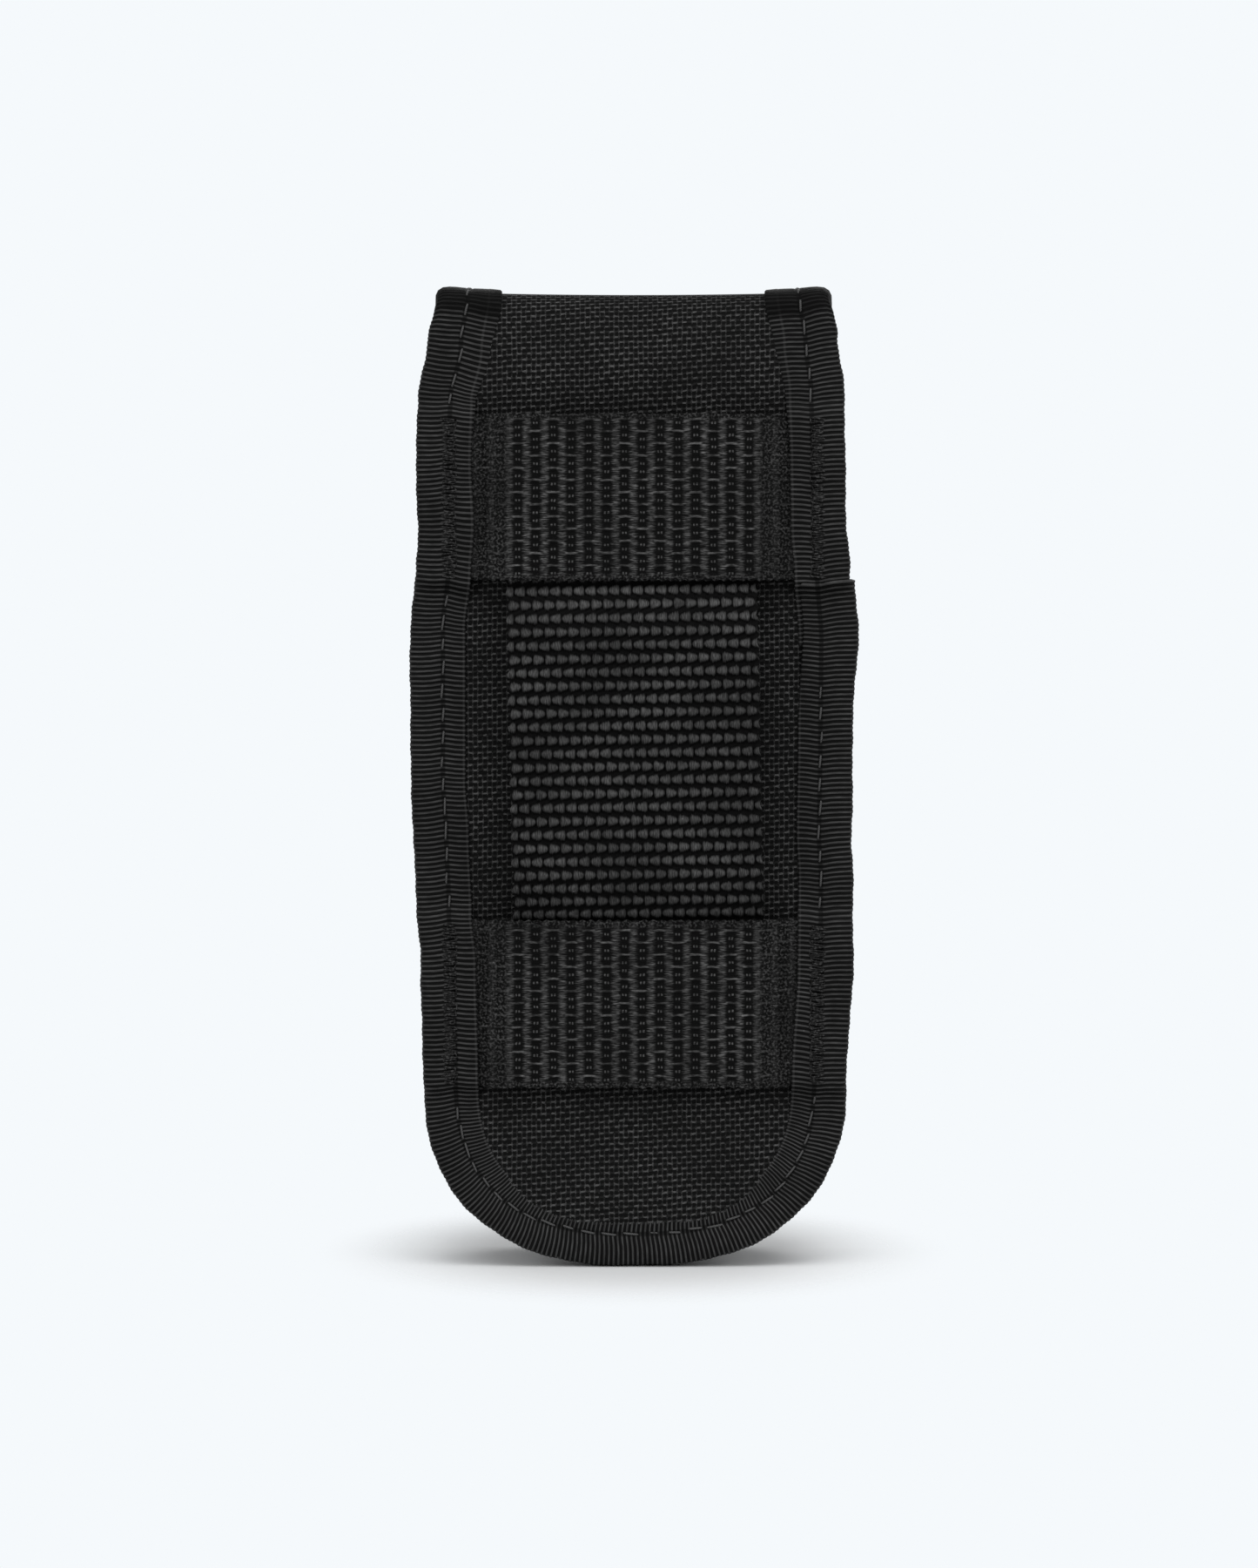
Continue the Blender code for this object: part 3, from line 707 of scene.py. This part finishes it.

# Painted highlights on the ribs, rungs and dots. Towards the band's ends and along its edges, where the
# webbing turns to fuzz, they fade and a fine speckle of painted glints is added.
band_finish, cloth = new_material("band_webbing", 0.55, 0.04)
ribs = placed(band_weave, cloth)
worn = placed(handled, cloth, Streak=(1.2, 6.5, 1.0))
painted_highlight = ribs["Rib"] * 0.115 + ribs["Rung"] * 0.1 + ribs["Dot"] * 0.09
painted_highlight = painted_highlight * (0.35 + worn["Fibre"] * 0.9)
across, along = laid_flat(cloth)
fuzzy = ramp(abs(across), 17.5, 20.5)
for edge in (*BANDS[0], *BANDS[1]):
    fuzzy = fuzzy.calc("MAXIMUM", ramp(abs(along - edge), 1.3, 0.5))
# A fine speckle of painted glints on the fuzz.
glint_speckle = ramp(noise(cloth, 2.6, 3.0), 0.46, 0.68) * 0.05
painted_highlight = painted_highlight * ramp(fuzzy, 0.0, 1.0, 1.0, 0.3) + glint_speckle * fuzzy
height = worn["Fibre"] * 0.6 + ribs["Dot"] * 0.7
dye_and_painted_light(band_finish, 0.0042 + painted_highlight * worn["Shade"] + worn["Lint"] * 0.1, height, 0.08)

band_columns = np.concatenate(
    [np.arange(-BAND_HALF, -24.5, 0.9), np.arange(-24.3, 24.4, 0.3), np.arange(24.6, BAND_HALF + 0.1, 0.9)]
)
for name, (low, high) in zip(("lower", "upper"), BANDS):
    band_rows = np.arange(low, high + 0.1, 0.25)
    band = cloth_grid(f"{name}_band_webbing", band_columns, band_rows, lay_band(low, high))
    finish_sheet(band, BAND_WALL, band_finish, "webbing", f"{name}_cross_band")
    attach(band, "pouch")

# ----------------------------------------------------------------------------------------------------
# Binding: 22 mm ribbed grosgrain tape folded over the raw edge of the tongue. It starts with a heat-sealed end
# on the right, runs round the back's end, up the left, round the flap and down the right, under its start.
RIB_STEP = 0.75
RIB_TALL = 0.1
TAPE_WALL = 0.45
FLAP_TURN = 5.2
FACE_DROP = 0.045  # of the fold's depth, from its outermost rib to the seam
DRAPE = 20  # steps to either side over which the tape evens out its direction
SEAM_INSET = 5.0
STITCH_PITCH = 3.6
TAPE_START = 104.8
TAPE_TAIL = 95.0
LIFT = 1.75
SEAM_PULL = 0.28
HIDDEN_MAP = 12.0


def outline(right_top, left_top, power, end_rise, stations):
    """Points of a flat outline from high on the right, round a rounded end, to high on the left."""
    right, left = stations
    down = np.arange(right_top, end_rise, -0.1)
    angle = np.linspace(0.0, math.pi, 3001)[1:-1]
    across = np.sign(np.cos(angle)) * np.abs(np.cos(angle)) ** (2.0 / power)
    end_s = end_rise * (1.0 - np.sin(angle) ** (2.0 / power))
    reach = np.where(across > 0.0, side_width(right, end_rise), side_width(left, end_rise))
    climb = np.arange(end_rise, left_top, 0.1)
    x = np.concatenate([side_width(right, down), across * reach, -side_width(left, climb)])
    return np.stack([x, np.concatenate([down, end_s, climb])], axis=-1)


def paced(points, step):
    """The outline at an even step, as rows of x, s, the inward direction's x and s, and the run."""
    lengths = np.concatenate([[0.0], np.cumsum(np.linalg.norm(np.diff(points, axis=0), axis=1))])
    run = np.arange(0.0, lengths[-1], step)
    even = np.stack([np.interp(run, lengths, points[:, axis]) for axis in (0, 1)], axis=-1)
    ahead = np.pad(np.gradient(even, axis=0), ((DRAPE, DRAPE), (0, 0)), "edge")
    kernel = np.full(2 * DRAPE + 1, 1.0 / (2 * DRAPE + 1))
    ahead = np.stack([np.convolve(ahead[:, axis], kernel, "valid") for axis in (0, 1)], axis=-1)
    ahead /= np.linalg.norm(ahead, axis=1)[:, None]
    return np.column_stack([even, ahead[:, 1], -ahead[:, 0], run])


# Tape section from its hidden edge, round the bound edge, to its seen edge:
# (inset, share of the way from the inner leg to the outer leg, rib push inwards, rib push outwards)
SECTION = (
    (4.8, 0.02, 0.0, -0.3), (4.3, 0.0, 0.0, -1.0), (3.2, 0.0, 0.0, -1.0), (2.1, 0.0, 0.0, -1.0),
    (1.1, 0.02, -0.5, -0.9), (0.4, 0.1, -0.8, -0.6), (0.05, 0.24, -1.0, -0.2), (0.0, 0.5, -1.0, 0.0),
    (0.05, 0.76, -1.0, 0.2), (0.4, 0.9, -0.8, 0.6), (1.1, 0.98, -0.5, 0.9), (2.1, 1.0, 0.0, 1.0),
    (3.2, 1.0, 0.0, 1.0), (4.4, 0.985, 0.0, 1.0), (4.8, 0.955, 0.0, 0.8), (5.2, 0.955, 0.0, 0.8),
    (5.7, 0.97, 0.0, 1.0), (6.8, 0.965, 0.0, 1.0), (7.7, 0.955, 0.0, 1.0), (8.0, 0.96, 0.0, 0.9),
    (8.3, 0.96, 0.0, 0.5), (8.45, 0.93, 0.0, 0.1),
)  # fmt: skip
SEEN_FROM = 12


def strip_runs(strip):
    """The run along the tape at each point, read back from its map."""
    mesh = strip.data
    spread = np.empty(len(mesh.loops) * 2)
    mesh.uv_layers["cloth"].data.foreach_get("uv", spread)
    runs = np.empty(len(mesh.vertices))
    runs[corner_points(mesh)] = spread[1::2]
    return runs


tape_finish, cloth = new_material("grosgrain_tape", 0.5, 0.04)
across, along = laid_flat(cloth)
worn = placed(handled, cloth, Streak=(0.6, 5.0, 1.0), Patchiness=0.35)
# Painted highlights on the rib crowns, the fine ribs between them and the inner selvedge, dimmed along the
# seam and where the tape is pressed flat over the fold.
ridge = ramp(abs((along * (math.pi / RIB_STEP)).calc("COSINE")), 0.66, 0.97)
groove = ramp(abs((along * (math.pi / RIB_STEP)).calc("SINE")), 0.9, 1.0)
pressed = shade(cloth.tree, "Attribute", take="Fac", attribute_name="pressed_flat")
in_seam = ramp(abs(across - SEAM_INSET), 0.2, 0.5, 0.35, 1.0)
selvedge = ramp(abs(across - 8.2), 0.28, 0.08)
painted_highlight = (ridge * 0.052 + groove * 0.004 + selvedge * 0.014) * in_seam
painted_highlight = painted_highlight * ramp(pressed, 0.0, 1.0, 1.0, 0.2) * (0.6 + worn["Fibre"] * 0.6)
dye_and_painted_light(tape_finish, 0.0028 + painted_highlight * worn["Shade"] + worn["Lint"] * 0.06, worn["Fibre"], 0.03)


def bind(name, path, spot, turn, *nodes, wider=0.0, lift=0.0, shrink=0.0, plain=0.0):
    """Sweeps the tape's section along a paced outline. turn is how deep the fold of the tape is."""
    section = np.array(SECTION)
    x, s, in_x, in_s, run = path.T
    turn, wider, lift, shrink, plain = (
        np.broadcast_to(value, x.shape) for value in (turn, wider, lift, shrink, plain)
    )
    ribs = np.abs(np.cos(run * math.pi / RIB_STEP)) ** 1.6 * RIB_TALL * (1.0 - plain)
    ripple = 0.04 * np.sin(run * 2.0 * math.pi / STITCH_PITCH)
    ripple = ripple + 0.13 * np.sin(run / 2.6 + 1.0) * np.sin(run / 7.3)

    def lay(column, row):
        column, row = column.astype(int), row.astype(int)
        inset, share, push_in, push_out = section[column].T
        outer = share > 0.6
        spread = wider[row] * np.clip(inset - SEAM_INSET, 0.0, None) / 3.4 / np.maximum(inset, 1.0)
        inset = inset * np.where(column >= SEEN_FROM, 1.0 + spread, 1.0)
        inset = inset + shrink[row] + ribs[row] * push_in + ripple[row] * (inset < 3.0)
        depth = turn[row] * (1.0 - share) - ribs[row] * push_out - lift[row] * outer
        depth = depth + 0.16 * wider[row] * np.clip((inset - 2.0) / 5.0, 0.0, 1.0) * outer
        pull = SEAM_PULL * np.exp(-(((inset - SEAM_INSET) / 1.6) ** 2)) * outer
        flat_x = x[row] + in_x[row] * inset - in_s[row] * pull
        flat_s = s[row] + in_s[row] * inset + in_x[row] * pull
        return inset + HIDDEN_MAP * (share < 0.3), run[row], spot(flat_x, flat_s, depth)

    strip = cloth_grid(name, np.arange(len(section)), np.arange(len(path)), lay)
    order = np.rint(np.interp(strip_runs(strip), run, np.arange(len(path)))).astype(int)
    strip.data.attributes.new("pressed_flat", "FLOAT", "POINT").data.foreach_set("value", plain[order])
    finish_sheet(strip, TAPE_WALL, tape_finish, "grosgrain", *nodes)
    return strip


def band_lift(s):
    """How far the tape is raised where it passes over the ends of the bands."""
    lifted = [rise(np.minimum(s - low, high - s), -2.0, 0.2, 0.0, LIFT) for low, high in BANDS]
    return np.maximum(*lifted)


def tape_turn(s):
    """Depth of the folded tape: over the gusset's flange below the mouth, over the panel alone above it."""
    above = np.clip((s - MOUTH) / 3.0, 0.0, 1.0)
    past = np.clip((s - TALL) / 10.0 + 0.5, 0.0, 1.0)
    return 7.0 - 1.1 * above - 0.7 * past


def top_wider(s):
    """The tape spreads where it crosses the fold."""
    return 1.7 * np.exp(-(((s - TALL) / 14.0) ** 2)) * np.clip((MID_TOP - s) / 12.0, 0.0, 1.0)


def at_fold(s):
    """From 0 to 1 where the tape is pressed flat and smooth over the fold."""
    return 1.0 - np.clip((np.abs(s - TALL + 0.5) - 2.0) / 1.5, 0.0, 1.0)


def bind_over(name, path, overlap, overlap_lift, *nodes):
    """Binds the tongue along a path and carries the tape over the bands and the back fold."""
    s = path[:, 1]
    turn, lift = tape_turn(s) + overlap_lift, band_lift(s) + overlap_lift
    wider, plain = top_wider(s), at_fold(s)
    tape = bind(name, path, fold_over, turn, *nodes, wider=wider, lift=lift, shrink=overlap, plain=plain)
    over_back_fold(tape)


tongue_sides = (RIGHT_SIDE, LEFT_SIDE)
start_path = paced(outline(TAPE_START, MID_TOP, END_POWER, END_RISE, tongue_sides), RIB_STEP / 4.0)
on_right = start_path[:, 0] > 0.0
overlap = -0.75 * np.clip((start_path[:, 1] - 84.0) / 14.0, 0.0, 1.0) * on_right
overlap_lift = 0.55 * np.clip((start_path[:, 1] - 86.0) / 8.0, 0.0, 1.0) * on_right
bind_over("back_binding_tape", start_path, overlap, overlap_lift, "back_binding")

tail_s = np.arange(MID_TOP, TAPE_TAIL, -0.1)
tail_path = paced(np.stack([side_width(RIGHT_SIDE, tail_s), tail_s], axis=-1), RIB_STEP / 4.0)
bind_over("back_binding_tail", tail_path, 0.0, 0.0)

flap_sides = [[(TIP - s, width) for s, width in reversed(side) if s >= TALL] for side in tongue_sides]
flap_points = outline(TIP - MID_TOP, TIP - MID_TOP, TIP_POWER, TIP_RISE, flap_sides)
flap_points = np.stack([flap_points[:, 0], TIP - flap_points[:, 1]], axis=-1)[::-1]
flap_path = paced(flap_points, RIB_STEP / 4.0)
flap_nodes = ("flap_top_binding_left", "flap_top_binding_right", "flap_front_binding")
over_front_fold(bind("flap_binding_tape", flap_path, fold_over, FLAP_TURN, *flap_nodes))

# ----------------------------------------------------------------------------------------------------
# Seams: one row of lockstitch in bonded thread, 5 mm in from the edge, through tape, cloth and lining. Each
# stitch lies on the tape for 2.5 mm and then goes down through it.
THREAD_RADIUS = 0.18
STITCH_LENGTH = 2.5

thread, cloth = new_material("bonded_thread", 0.45, 0.3)
across, along = laid_flat(cloth)
# Painted highlight along the crests of the thread's twist.
twist = abs((across * 6.0 + along * 9.0).calc("SINE"))
dye_and_painted_light(thread, 0.034 + twist * 0.05, twist, 0.04)

only()
bpy.ops.mesh.primitive_uv_sphere_add(segments=6, ring_count=8, radius=1.0)
bead = bpy.context.object.data
BEAD = np.array([corner.co for corner in bead.vertices])
BEAD_FACES = [list(face.vertices) for face in bead.polygons]
bpy.ops.object.delete()
round_off = np.sqrt(np.clip(1.0 - BEAD[:, 2] ** 2, 1e-9, 1.0))
BEAD[:, :2] *= ((1.0 - np.clip(BEAD[:, 2] ** 6, 0.0, 1.0)) ** 0.5 / round_off)[:, None]


def outwards(piece):
    """Turns the faces of closed shells outwards."""
    only(piece)
    bpy.ops.object.mode_set(mode="EDIT")
    bpy.ops.mesh.select_all(action="SELECT")
    bpy.ops.mesh.normals_make_consistent(inside=False)
    bpy.ops.object.mode_set(mode="OBJECT")


def stitched(name, path, spot, depth):
    """A row of stitches along a paced path. depth gives the tape's face at each row of the path."""
    x, s, in_x, in_s, run = path.T
    depth = np.broadcast_to(depth, x.shape)
    starts = np.arange(STITCH_PITCH / 2.0, run[-1] - STITCH_PITCH / 4.0, STITCH_PITCH)
    rows = np.clip(np.searchsorted(run, starts), 0, len(run) - 1)
    dealer = np.random.default_rng(len(rows))
    places, faces, unrolled = [], [], []
    for count, row in enumerate(rows):
        sway = dealer.normal(0.0, 0.09)
        along = BEAD[:, 2] * STITCH_LENGTH / 2.0 * (1.0 + dealer.normal(0.0, 0.1))
        side = SEAM_INSET + BEAD[:, 0] * THREAD_RADIUS + sway + 0.12 * BEAD[:, 2]
        flat_x = x[row] + in_x[row] * side - in_s[row] * along
        flat_s = s[row] + in_s[row] * side + in_x[row] * along
        sink = 0.34 * BEAD[:, 2] ** 4 - 0.1 + 0.06 * dealer.normal()
        places.append(spot(flat_x, flat_s, depth[row] + sink - BEAD[:, 1] * THREAD_RADIUS))
        faces += [[corner + count * len(BEAD) for corner in face] for face in BEAD_FACES]
        unrolled.append(np.stack([np.arctan2(BEAD[:, 1], BEAD[:, 0]) * THREAD_RADIUS, along], axis=-1))
    mesh = bpy.data.meshes.new(name)
    mesh.from_pydata(np.concatenate(places).tolist(), [], faces)
    unrolled = np.concatenate(unrolled)
    mesh.uv_layers.new(name="cloth").data.foreach_set("uv", unrolled[corner_points(mesh)].ravel())
    row_of_stitches = new_object(name, mesh)
    outwards(row_of_stitches)
    bpy.ops.object.shade_smooth()
    finish_piece(row_of_stitches, thread, "thread")
    return row_of_stitches


def seam_depth(path):
    """How deep the tape's face lies along its seam."""
    s = path[:, 1]
    return FACE_DROP * tape_turn(s) - band_lift(s) + 0.1 * top_wider(s) + 0.12 * at_fold(s)


def off_bands(path):
    """The parts of a path that the bar tacks don't cover, as separate paths."""
    s = path[:, 1]
    covered = np.zeros(len(path), bool)
    for low, high in BANDS:
        covered |= (s > low - 0.5) & (s < high + 0.5)
    edges = np.flatnonzero(np.diff(np.concatenate([[True], covered, [True]]).astype(int)))
    return [path[first:last] for first, last in zip(edges[::2], edges[1::2]) if last - first > 30]


def restarted(path):
    fresh = path.copy()
    fresh[:, 4] -= fresh[0, 4]
    return fresh


for count, part in enumerate(off_bands(start_path), 1):
    over_back_fold(stitched(f"back_seam_{count}", restarted(part), fold_over, seam_depth(part)))
for count, part in enumerate(off_bands(tail_path), 1):
    if part[-1, 1] > TAPE_START - 3.0:
        over_back_fold(stitched(f"back_seam_right_{count}", restarted(part), fold_over, seam_depth(part)))
over_front_fold(stitched("flap_seam", flap_path, fold_over, FACE_DROP * FLAP_TURN))

# Bar tacks: dense, ragged zigzag stitching through the tape and the ends of each band.
TACK_X = 28.1
TACK_HALF = 1.05
TACK_STEP = 0.62
chance = random.Random(7)


def tack_depth(z):
    return float(-band_lift(np.array(z)) - 0.02)


def bar_tack(name, centre, low, high, node):
    route = []
    steps = int((high - low) / TACK_STEP)
    for turn in range(2):
        for step in range(steps):
            z = low + step * TACK_STEP + 0.31 * turn + chance.uniform(-0.16, 0.16)
            z = high + low - z if turn else z
            side = (1.0 if step % 2 else -1.0) * (TACK_HALF + chance.uniform(-0.35, 0.25))
            for share, up in ((-1.0, 0.22), (-0.55, -0.1), (0.55, -0.1), (1.0, 0.22)):
                route.append((centre + side * share, z + 0.15 * share, tack_depth(z) + up))
    bend = bpy.data.curves.new(name, "CURVE")
    bend.dimensions = "3D"
    bend.bevel_depth = 0.15 * MM
    bend.bevel_resolution = 1
    bend.use_fill_caps = True
    spline = bend.splines.new("POLY")
    spline.points.add(len(route) - 1)
    for point, (x, s, depth) in zip(spline.points, route):
        point.co = (*fold_over(x, s, depth), 1.0)
    only(new_object(name, bend))
    bpy.ops.object.convert(target="MESH")
    tack = bpy.context.object
    tack.data.uv_layers.new(name="cloth")
    finish_piece(tack, tack_thread, "thread", node)
    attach(tack, "pouch")


tack_thread, place = new_material("tack_thread", 0.5, 0.2, solid=True)
# Painted glints: fine bright specks on the black thread.
glint_speckle = noise(place, 2600.0, 2.0)
dye_and_painted_light(tack_thread, 0.004 + ramp(glint_speckle, 0.45, 0.7) * 0.05, glint_speckle, 0.05)
for level, (low, high) in zip(("lower", "upper"), BANDS):
    bar_tack(f"{level}_left_tack", -TACK_X, low + 0.6, high - 0.6, f"{level}_left_bartack")
    bar_tack(f"{level}_right_tack", TACK_X, low + 0.6, high - 0.6, f"{level}_right_bartack")
    dress(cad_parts[f"{level}_strap_tack"], tack_thread)

# ----------------------------------------------------------------------------------------------------
# Gussets: ribbed elastic at both sides of the pocket, so that the tool is held tight, and a nylon strip round
# the end. Each has two seam flanges that go into the bindings, and its wall draws in a little between them.
GUSSET_JOIN = 34.0
WALL_INSET = 5.7
ELASTIC_RIB = 1.2
GUSSET_WALL = 0.8
FLANGE = ((1.6, 4.75), (3.2, 4.75), (4.8, 4.75), (5.4, 4.9))
WALL_FROM = 4.9
WALL_TO = 23.3
WALL_POINTS = 58


def gusset(name, path, ribbed, material, slot, node):
    wall = [(WALL_INSET, y) for y in np.linspace(WALL_FROM + 0.7, WALL_TO - 0.6, WALL_POINTS)]
    section = np.array([*FLANGE, *wall, *((inset, WALL_FROM + WALL_TO - y) for inset, y in FLANGE[::-1])])
    middle = np.clip((section[:, 1] - WALL_FROM) / (WALL_TO - WALL_FROM), 0.0, 1.0)
    section[:, 0] += 0.9 * np.sin(middle * math.pi) ** 0.8
    if ribbed:
        on_wall = (section[:, 1] > WALL_FROM + 0.4) & (section[:, 1] < WALL_TO - 0.4)
        section[:, 0] -= on_wall * 0.16 * np.abs(np.cos(section[:, 1] * math.pi / ELASTIC_RIB))
    x, s, in_x, in_s, run = path.T

    def lay(column, row):
        column, row = column.astype(int), row.astype(int)
        inset, y = section[column].T
        return y + inset, run[row], at(x[row] + in_x[row] * inset, y, s[row] + in_s[row] * inset)

    strip = cloth_grid(name, np.arange(len(section)), np.arange(len(path)), lay)
    finish_sheet(strip, GUSSET_WALL, material, slot, node)
    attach(strip, "pouch")


elastic, cloth = new_material("ribbed_elastic", 0.75, 0.15)
across, along = laid_flat(cloth)
cord_line = abs((across * (math.pi / ELASTIC_RIB)).calc("COSINE"))
wrapped = abs((along * (math.pi / 0.5)).calc("SINE"))
worn = placed(handled, cloth, Streak=(1.0, 4.0, 1.0))
# Painted highlight on the crests of the cords and their wrapping threads, also used as the relief.
painted_highlight = (0.2 + wrapped * 0.8) * ramp(cord_line, 0.3, 1.0)
dye_and_painted_light(elastic, (0.004 + painted_highlight * 0.03) * worn["Shade"], painted_highlight, 0.08)

side_s = np.arange(MOUTH - 0.7, GUSSET_JOIN, -0.1)
right_side = paced(np.stack([side_width(RIGHT_SIDE, side_s), side_s], axis=-1), 0.8)
left_side = paced(np.stack([-side_width(LEFT_SIDE, side_s[::-1]), side_s[::-1]], axis=-1), 0.8)
end_line = paced(outline(GUSSET_JOIN - 0.15, GUSSET_JOIN - 0.15, END_POWER, END_RISE, tongue_sides), 0.8)
gusset("right_gusset_elastic", right_side, True, elastic, "elastic", "gusset_right")
gusset("left_gusset_elastic", left_side, True, elastic, "elastic", "gusset_left")
gusset("end_gusset_cloth", end_line, False, nylon, "ballistic_nylon", "bottom_gusset")

# ----------------------------------------------------------------------------------------------------
# Pocket front: padded nylon with a lining, bound all round in the same tape, with a second strip of tape
# across the mouth between the side tapes.
FRONT_FACE = 28.4
FRONT_TURN = 6.3
MOUTH_TURN = 5.2
LOOP_Z = (67.0, 96.5)
HOOK_Z = (71.5, 95.5)
PATCH_HALF = 15.0


def front_spot(x, s, depth):
    """A point of the pocket's front, laid out flat as it is seen from the front."""
    return at(-x, FRONT_FACE - depth, s)


def front_crown(x, s):
    by_patch = np.clip((np.abs(x) - PATCH_HALF) / 5.0, 0.0, 1.0)
    by_patch = np.maximum(by_patch, np.clip((LOOP_Z[0] - s) / 6.0, 0.0, 1.0))
    by_patch = np.maximum(by_patch, np.clip((s - LOOP_Z[1]) / 6.0, 0.0, 1.0))
    return bulge(x, s, 3.0, MOUTH - 4.0, 1.5) * np.sin(by_patch * math.pi / 2.0)


def front_layer(name, spacing, lie, material, slot, node):
    """A layer of the pocket's front, whose lie is its depth, its thickness and its inset from the edge."""
    depth, thickness, inset = lie

    def lay(share, s):
        x = tongue_x(-share, s, inset)
        return x, s, at(x, FRONT_FACE - depth + (front_crown(x, s) if depth < 1.0 else 0.0), s)

    across = ACROSS if spacing < 1.5 else ACROSS[::2]
    sheet = cloth_grid(name, across, rounded_rows(inset, MOUTH - 1.2, spacing), lay)
    finish_sheet(sheet, thickness, material, slot, node)
    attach(sheet, "pouch")
    return sheet


cloth_lie = (CLOTH_DEPTH, CLOTH_THICKNESS, CLOTH_INSET)
lining_lie = (FLAP_LINING_DEPTH, LINING_THICKNESS, CLOTH_INSET)
front_cloth = front_layer("front_panel_cloth", 1.1, cloth_lie, nylon, "ballistic_nylon", "front_panel_shell")
front_pad = front_layer("front_foam_sheet", 3.0, (1.95, 1.5, FOAM_INSET), foam, "foam", "front_foam")
front_layer("front_lining_cloth", 1.6, lining_lie, pack_cloth, "lining", "front_lining")

front_path = paced(outline(MOUTH, MOUTH, END_POWER, END_RISE, (LEFT_SIDE, RIGHT_SIDE)), RIB_STEP / 4.0)
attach(bind("front_binding_tape", front_path, front_spot, FRONT_TURN, "front_binding"), "pouch")
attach(stitched("front_seam", front_path, front_spot, FACE_DROP * FRONT_TURN), "pouch")

mouth_reach = float(min(side_width(LEFT_SIDE, MOUTH), side_width(RIGHT_SIDE, MOUTH))) - 7.2
mouth_x = np.arange(-mouth_reach, mouth_reach, 0.1)
mouth_path = paced(np.stack([mouth_x, np.full_like(mouth_x, MOUTH)], axis=-1), RIB_STEP / 4.0)
tucked = np.clip((np.abs(mouth_path[:, 0]) - mouth_reach + 3.0) / 1.4, 0.0, 1.0)
mouth_lift = -0.55 * tucked
mouth_tape = bind("mouth_binding_tape", mouth_path, front_spot, MOUTH_TURN, "mouth_binding", lift=mouth_lift)
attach(mouth_tape, "pouch")
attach(stitched("mouth_seam", mouth_path, front_spot, FACE_DROP * MOUTH_TURN), "pouch")

# ----------------------------------------------------------------------------------------------------
# Closure: a loop patch on the pocket and a hook patch inside the flap, each a woven tape with its own pile.
# On the sheath they are sewn down near their edges; those stitches are not drawn.
PATCH_BASE = 0.45
PATCH_STEP = 0.4


def patch(name, y_base, outward, heights, relief, material, slot, node, body):
    """A rectangle of closure tape. relief(x, z) is the height of its pile in millimetres."""
    columns = np.arange(-PATCH_HALF, PATCH_HALF + 0.01, PATCH_STEP)
    rows = np.arange(heights[0], heights[1] + 0.01, PATCH_STEP)

    def lay(x, z):
        return x, z, at(-outward * x, y_base + outward * (PATCH_BASE + relief(x, z)), z)

    tape = cloth_grid(name, columns, rows, lay)
    finish_sheet(tape, PATCH_BASE, material, slot, node)
    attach(tape, body)


PILE = np.random.default_rng(3).normal(0.0, 1.0, (200, 200))


def pile(x, z):
    """Height of the uneven loops, which run out at the patch's edges."""
    column = np.rint((x + 20.0) / PATCH_STEP).astype(int) % len(PILE)
    lump = PILE[column, np.rint(z / PATCH_STEP).astype(int) % len(PILE)]
    inside = np.minimum(PATCH_HALF - np.abs(x), np.minimum(z - LOOP_Z[0], LOOP_Z[1] - z))
    return (0.42 + 0.1 * lump) * np.clip(inside / 0.8, 0.0, 1.0)


loop_finish, cloth = new_material("loop_pile", 0.9, 0.1, sheen=0.1)
# Painted highlight on the tops of the loops, broken up by random tone in the pile.
fluff = ramp(noise(cloth, 2.2, 4.0), 0.3, 0.7) * ramp(cells(cloth, 3.0), 0.5, 0.1)
dye_and_painted_light(loop_finish, 0.006 + fluff * 0.05, fluff, 0.25)
patch("loop_tape", 27.75, 1.0, LOOP_Z, pile, loop_finish, "loop", "loop_patch", "pouch")

hook_finish, cloth = new_material("hook_tape", 0.45, 0.3)
woven = placed(weave, cloth, Thread_Pitch=0.5, Row_Pitch=0.5, Slant=0.0, Wander=0.05)
# Painted highlight: the raised threads of the weave are painted lighter.
dye_and_painted_light(hook_finish, 0.006 + woven["Height"] * 0.03, woven["Height"], 0.08)
patch("hook_tape", 30.55, -1.0, HOOK_Z, lambda x, z: 0.0 * x, hook_finish, "hook", "hook_patch", "flap_front")

# The hooks: bent bristles in rows, each a short tapered strip that curls over at its tip.
HOOK_SPACING = 1.25
hook_line = [(0.0, 0.0), (0.0, 0.3), (0.04, 0.5), (0.16, 0.62), (0.3, 0.56), (0.34, 0.44)]
hook_wide = [0.15, 0.13, 0.11, 0.1, 0.08, 0.05]
corners, faces = [], []
for column in range(23):
    for row in range(18):
        x = -PATCH_HALF + 1.2 + column * HOOK_SPACING
        z = HOOK_Z[0] + 1.3 + row * HOOK_SPACING + 0.6 * (column % 2)
        turn = 1.0 if column % 2 else -1.0
        first = len(corners)
        for (forward, up), wide in zip(hook_line, hook_wide):
            for side, deep in ((-wide, -0.05), (wide, -0.05), (wide, 0.05), (-wide, 0.05)):
                corners.append(at(x + side, 30.1 - up, z + turn * (forward + deep)))
        for step in range(len(hook_line) - 1):
            ring = first + 4 * step
            for edge in range(4):
                after = (edge + 1) % 4
                faces.append((ring + edge, ring + after, ring + 4 + after, ring + 4 + edge))
        faces += [(first + 3, first + 2, first + 1, first), tuple(first + 20 + edge for edge in range(4))]
mesh = bpy.data.meshes.new("hook_bristles")
mesh.from_pydata(np.array(corners).tolist(), [], faces)
bristles = new_object("hook_bristles", mesh)
outwards(bristles)
bristle_finish, place = new_material("nylon_bristle", 0.35, 0.4, solid=True)
dye_and_painted_light(bristle_finish, 0.01 + noise(place, 300.0, 1.0) * 0.03)
finish_piece(bristles, bristle_finish, "hook")
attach(bristles, "flap_front")
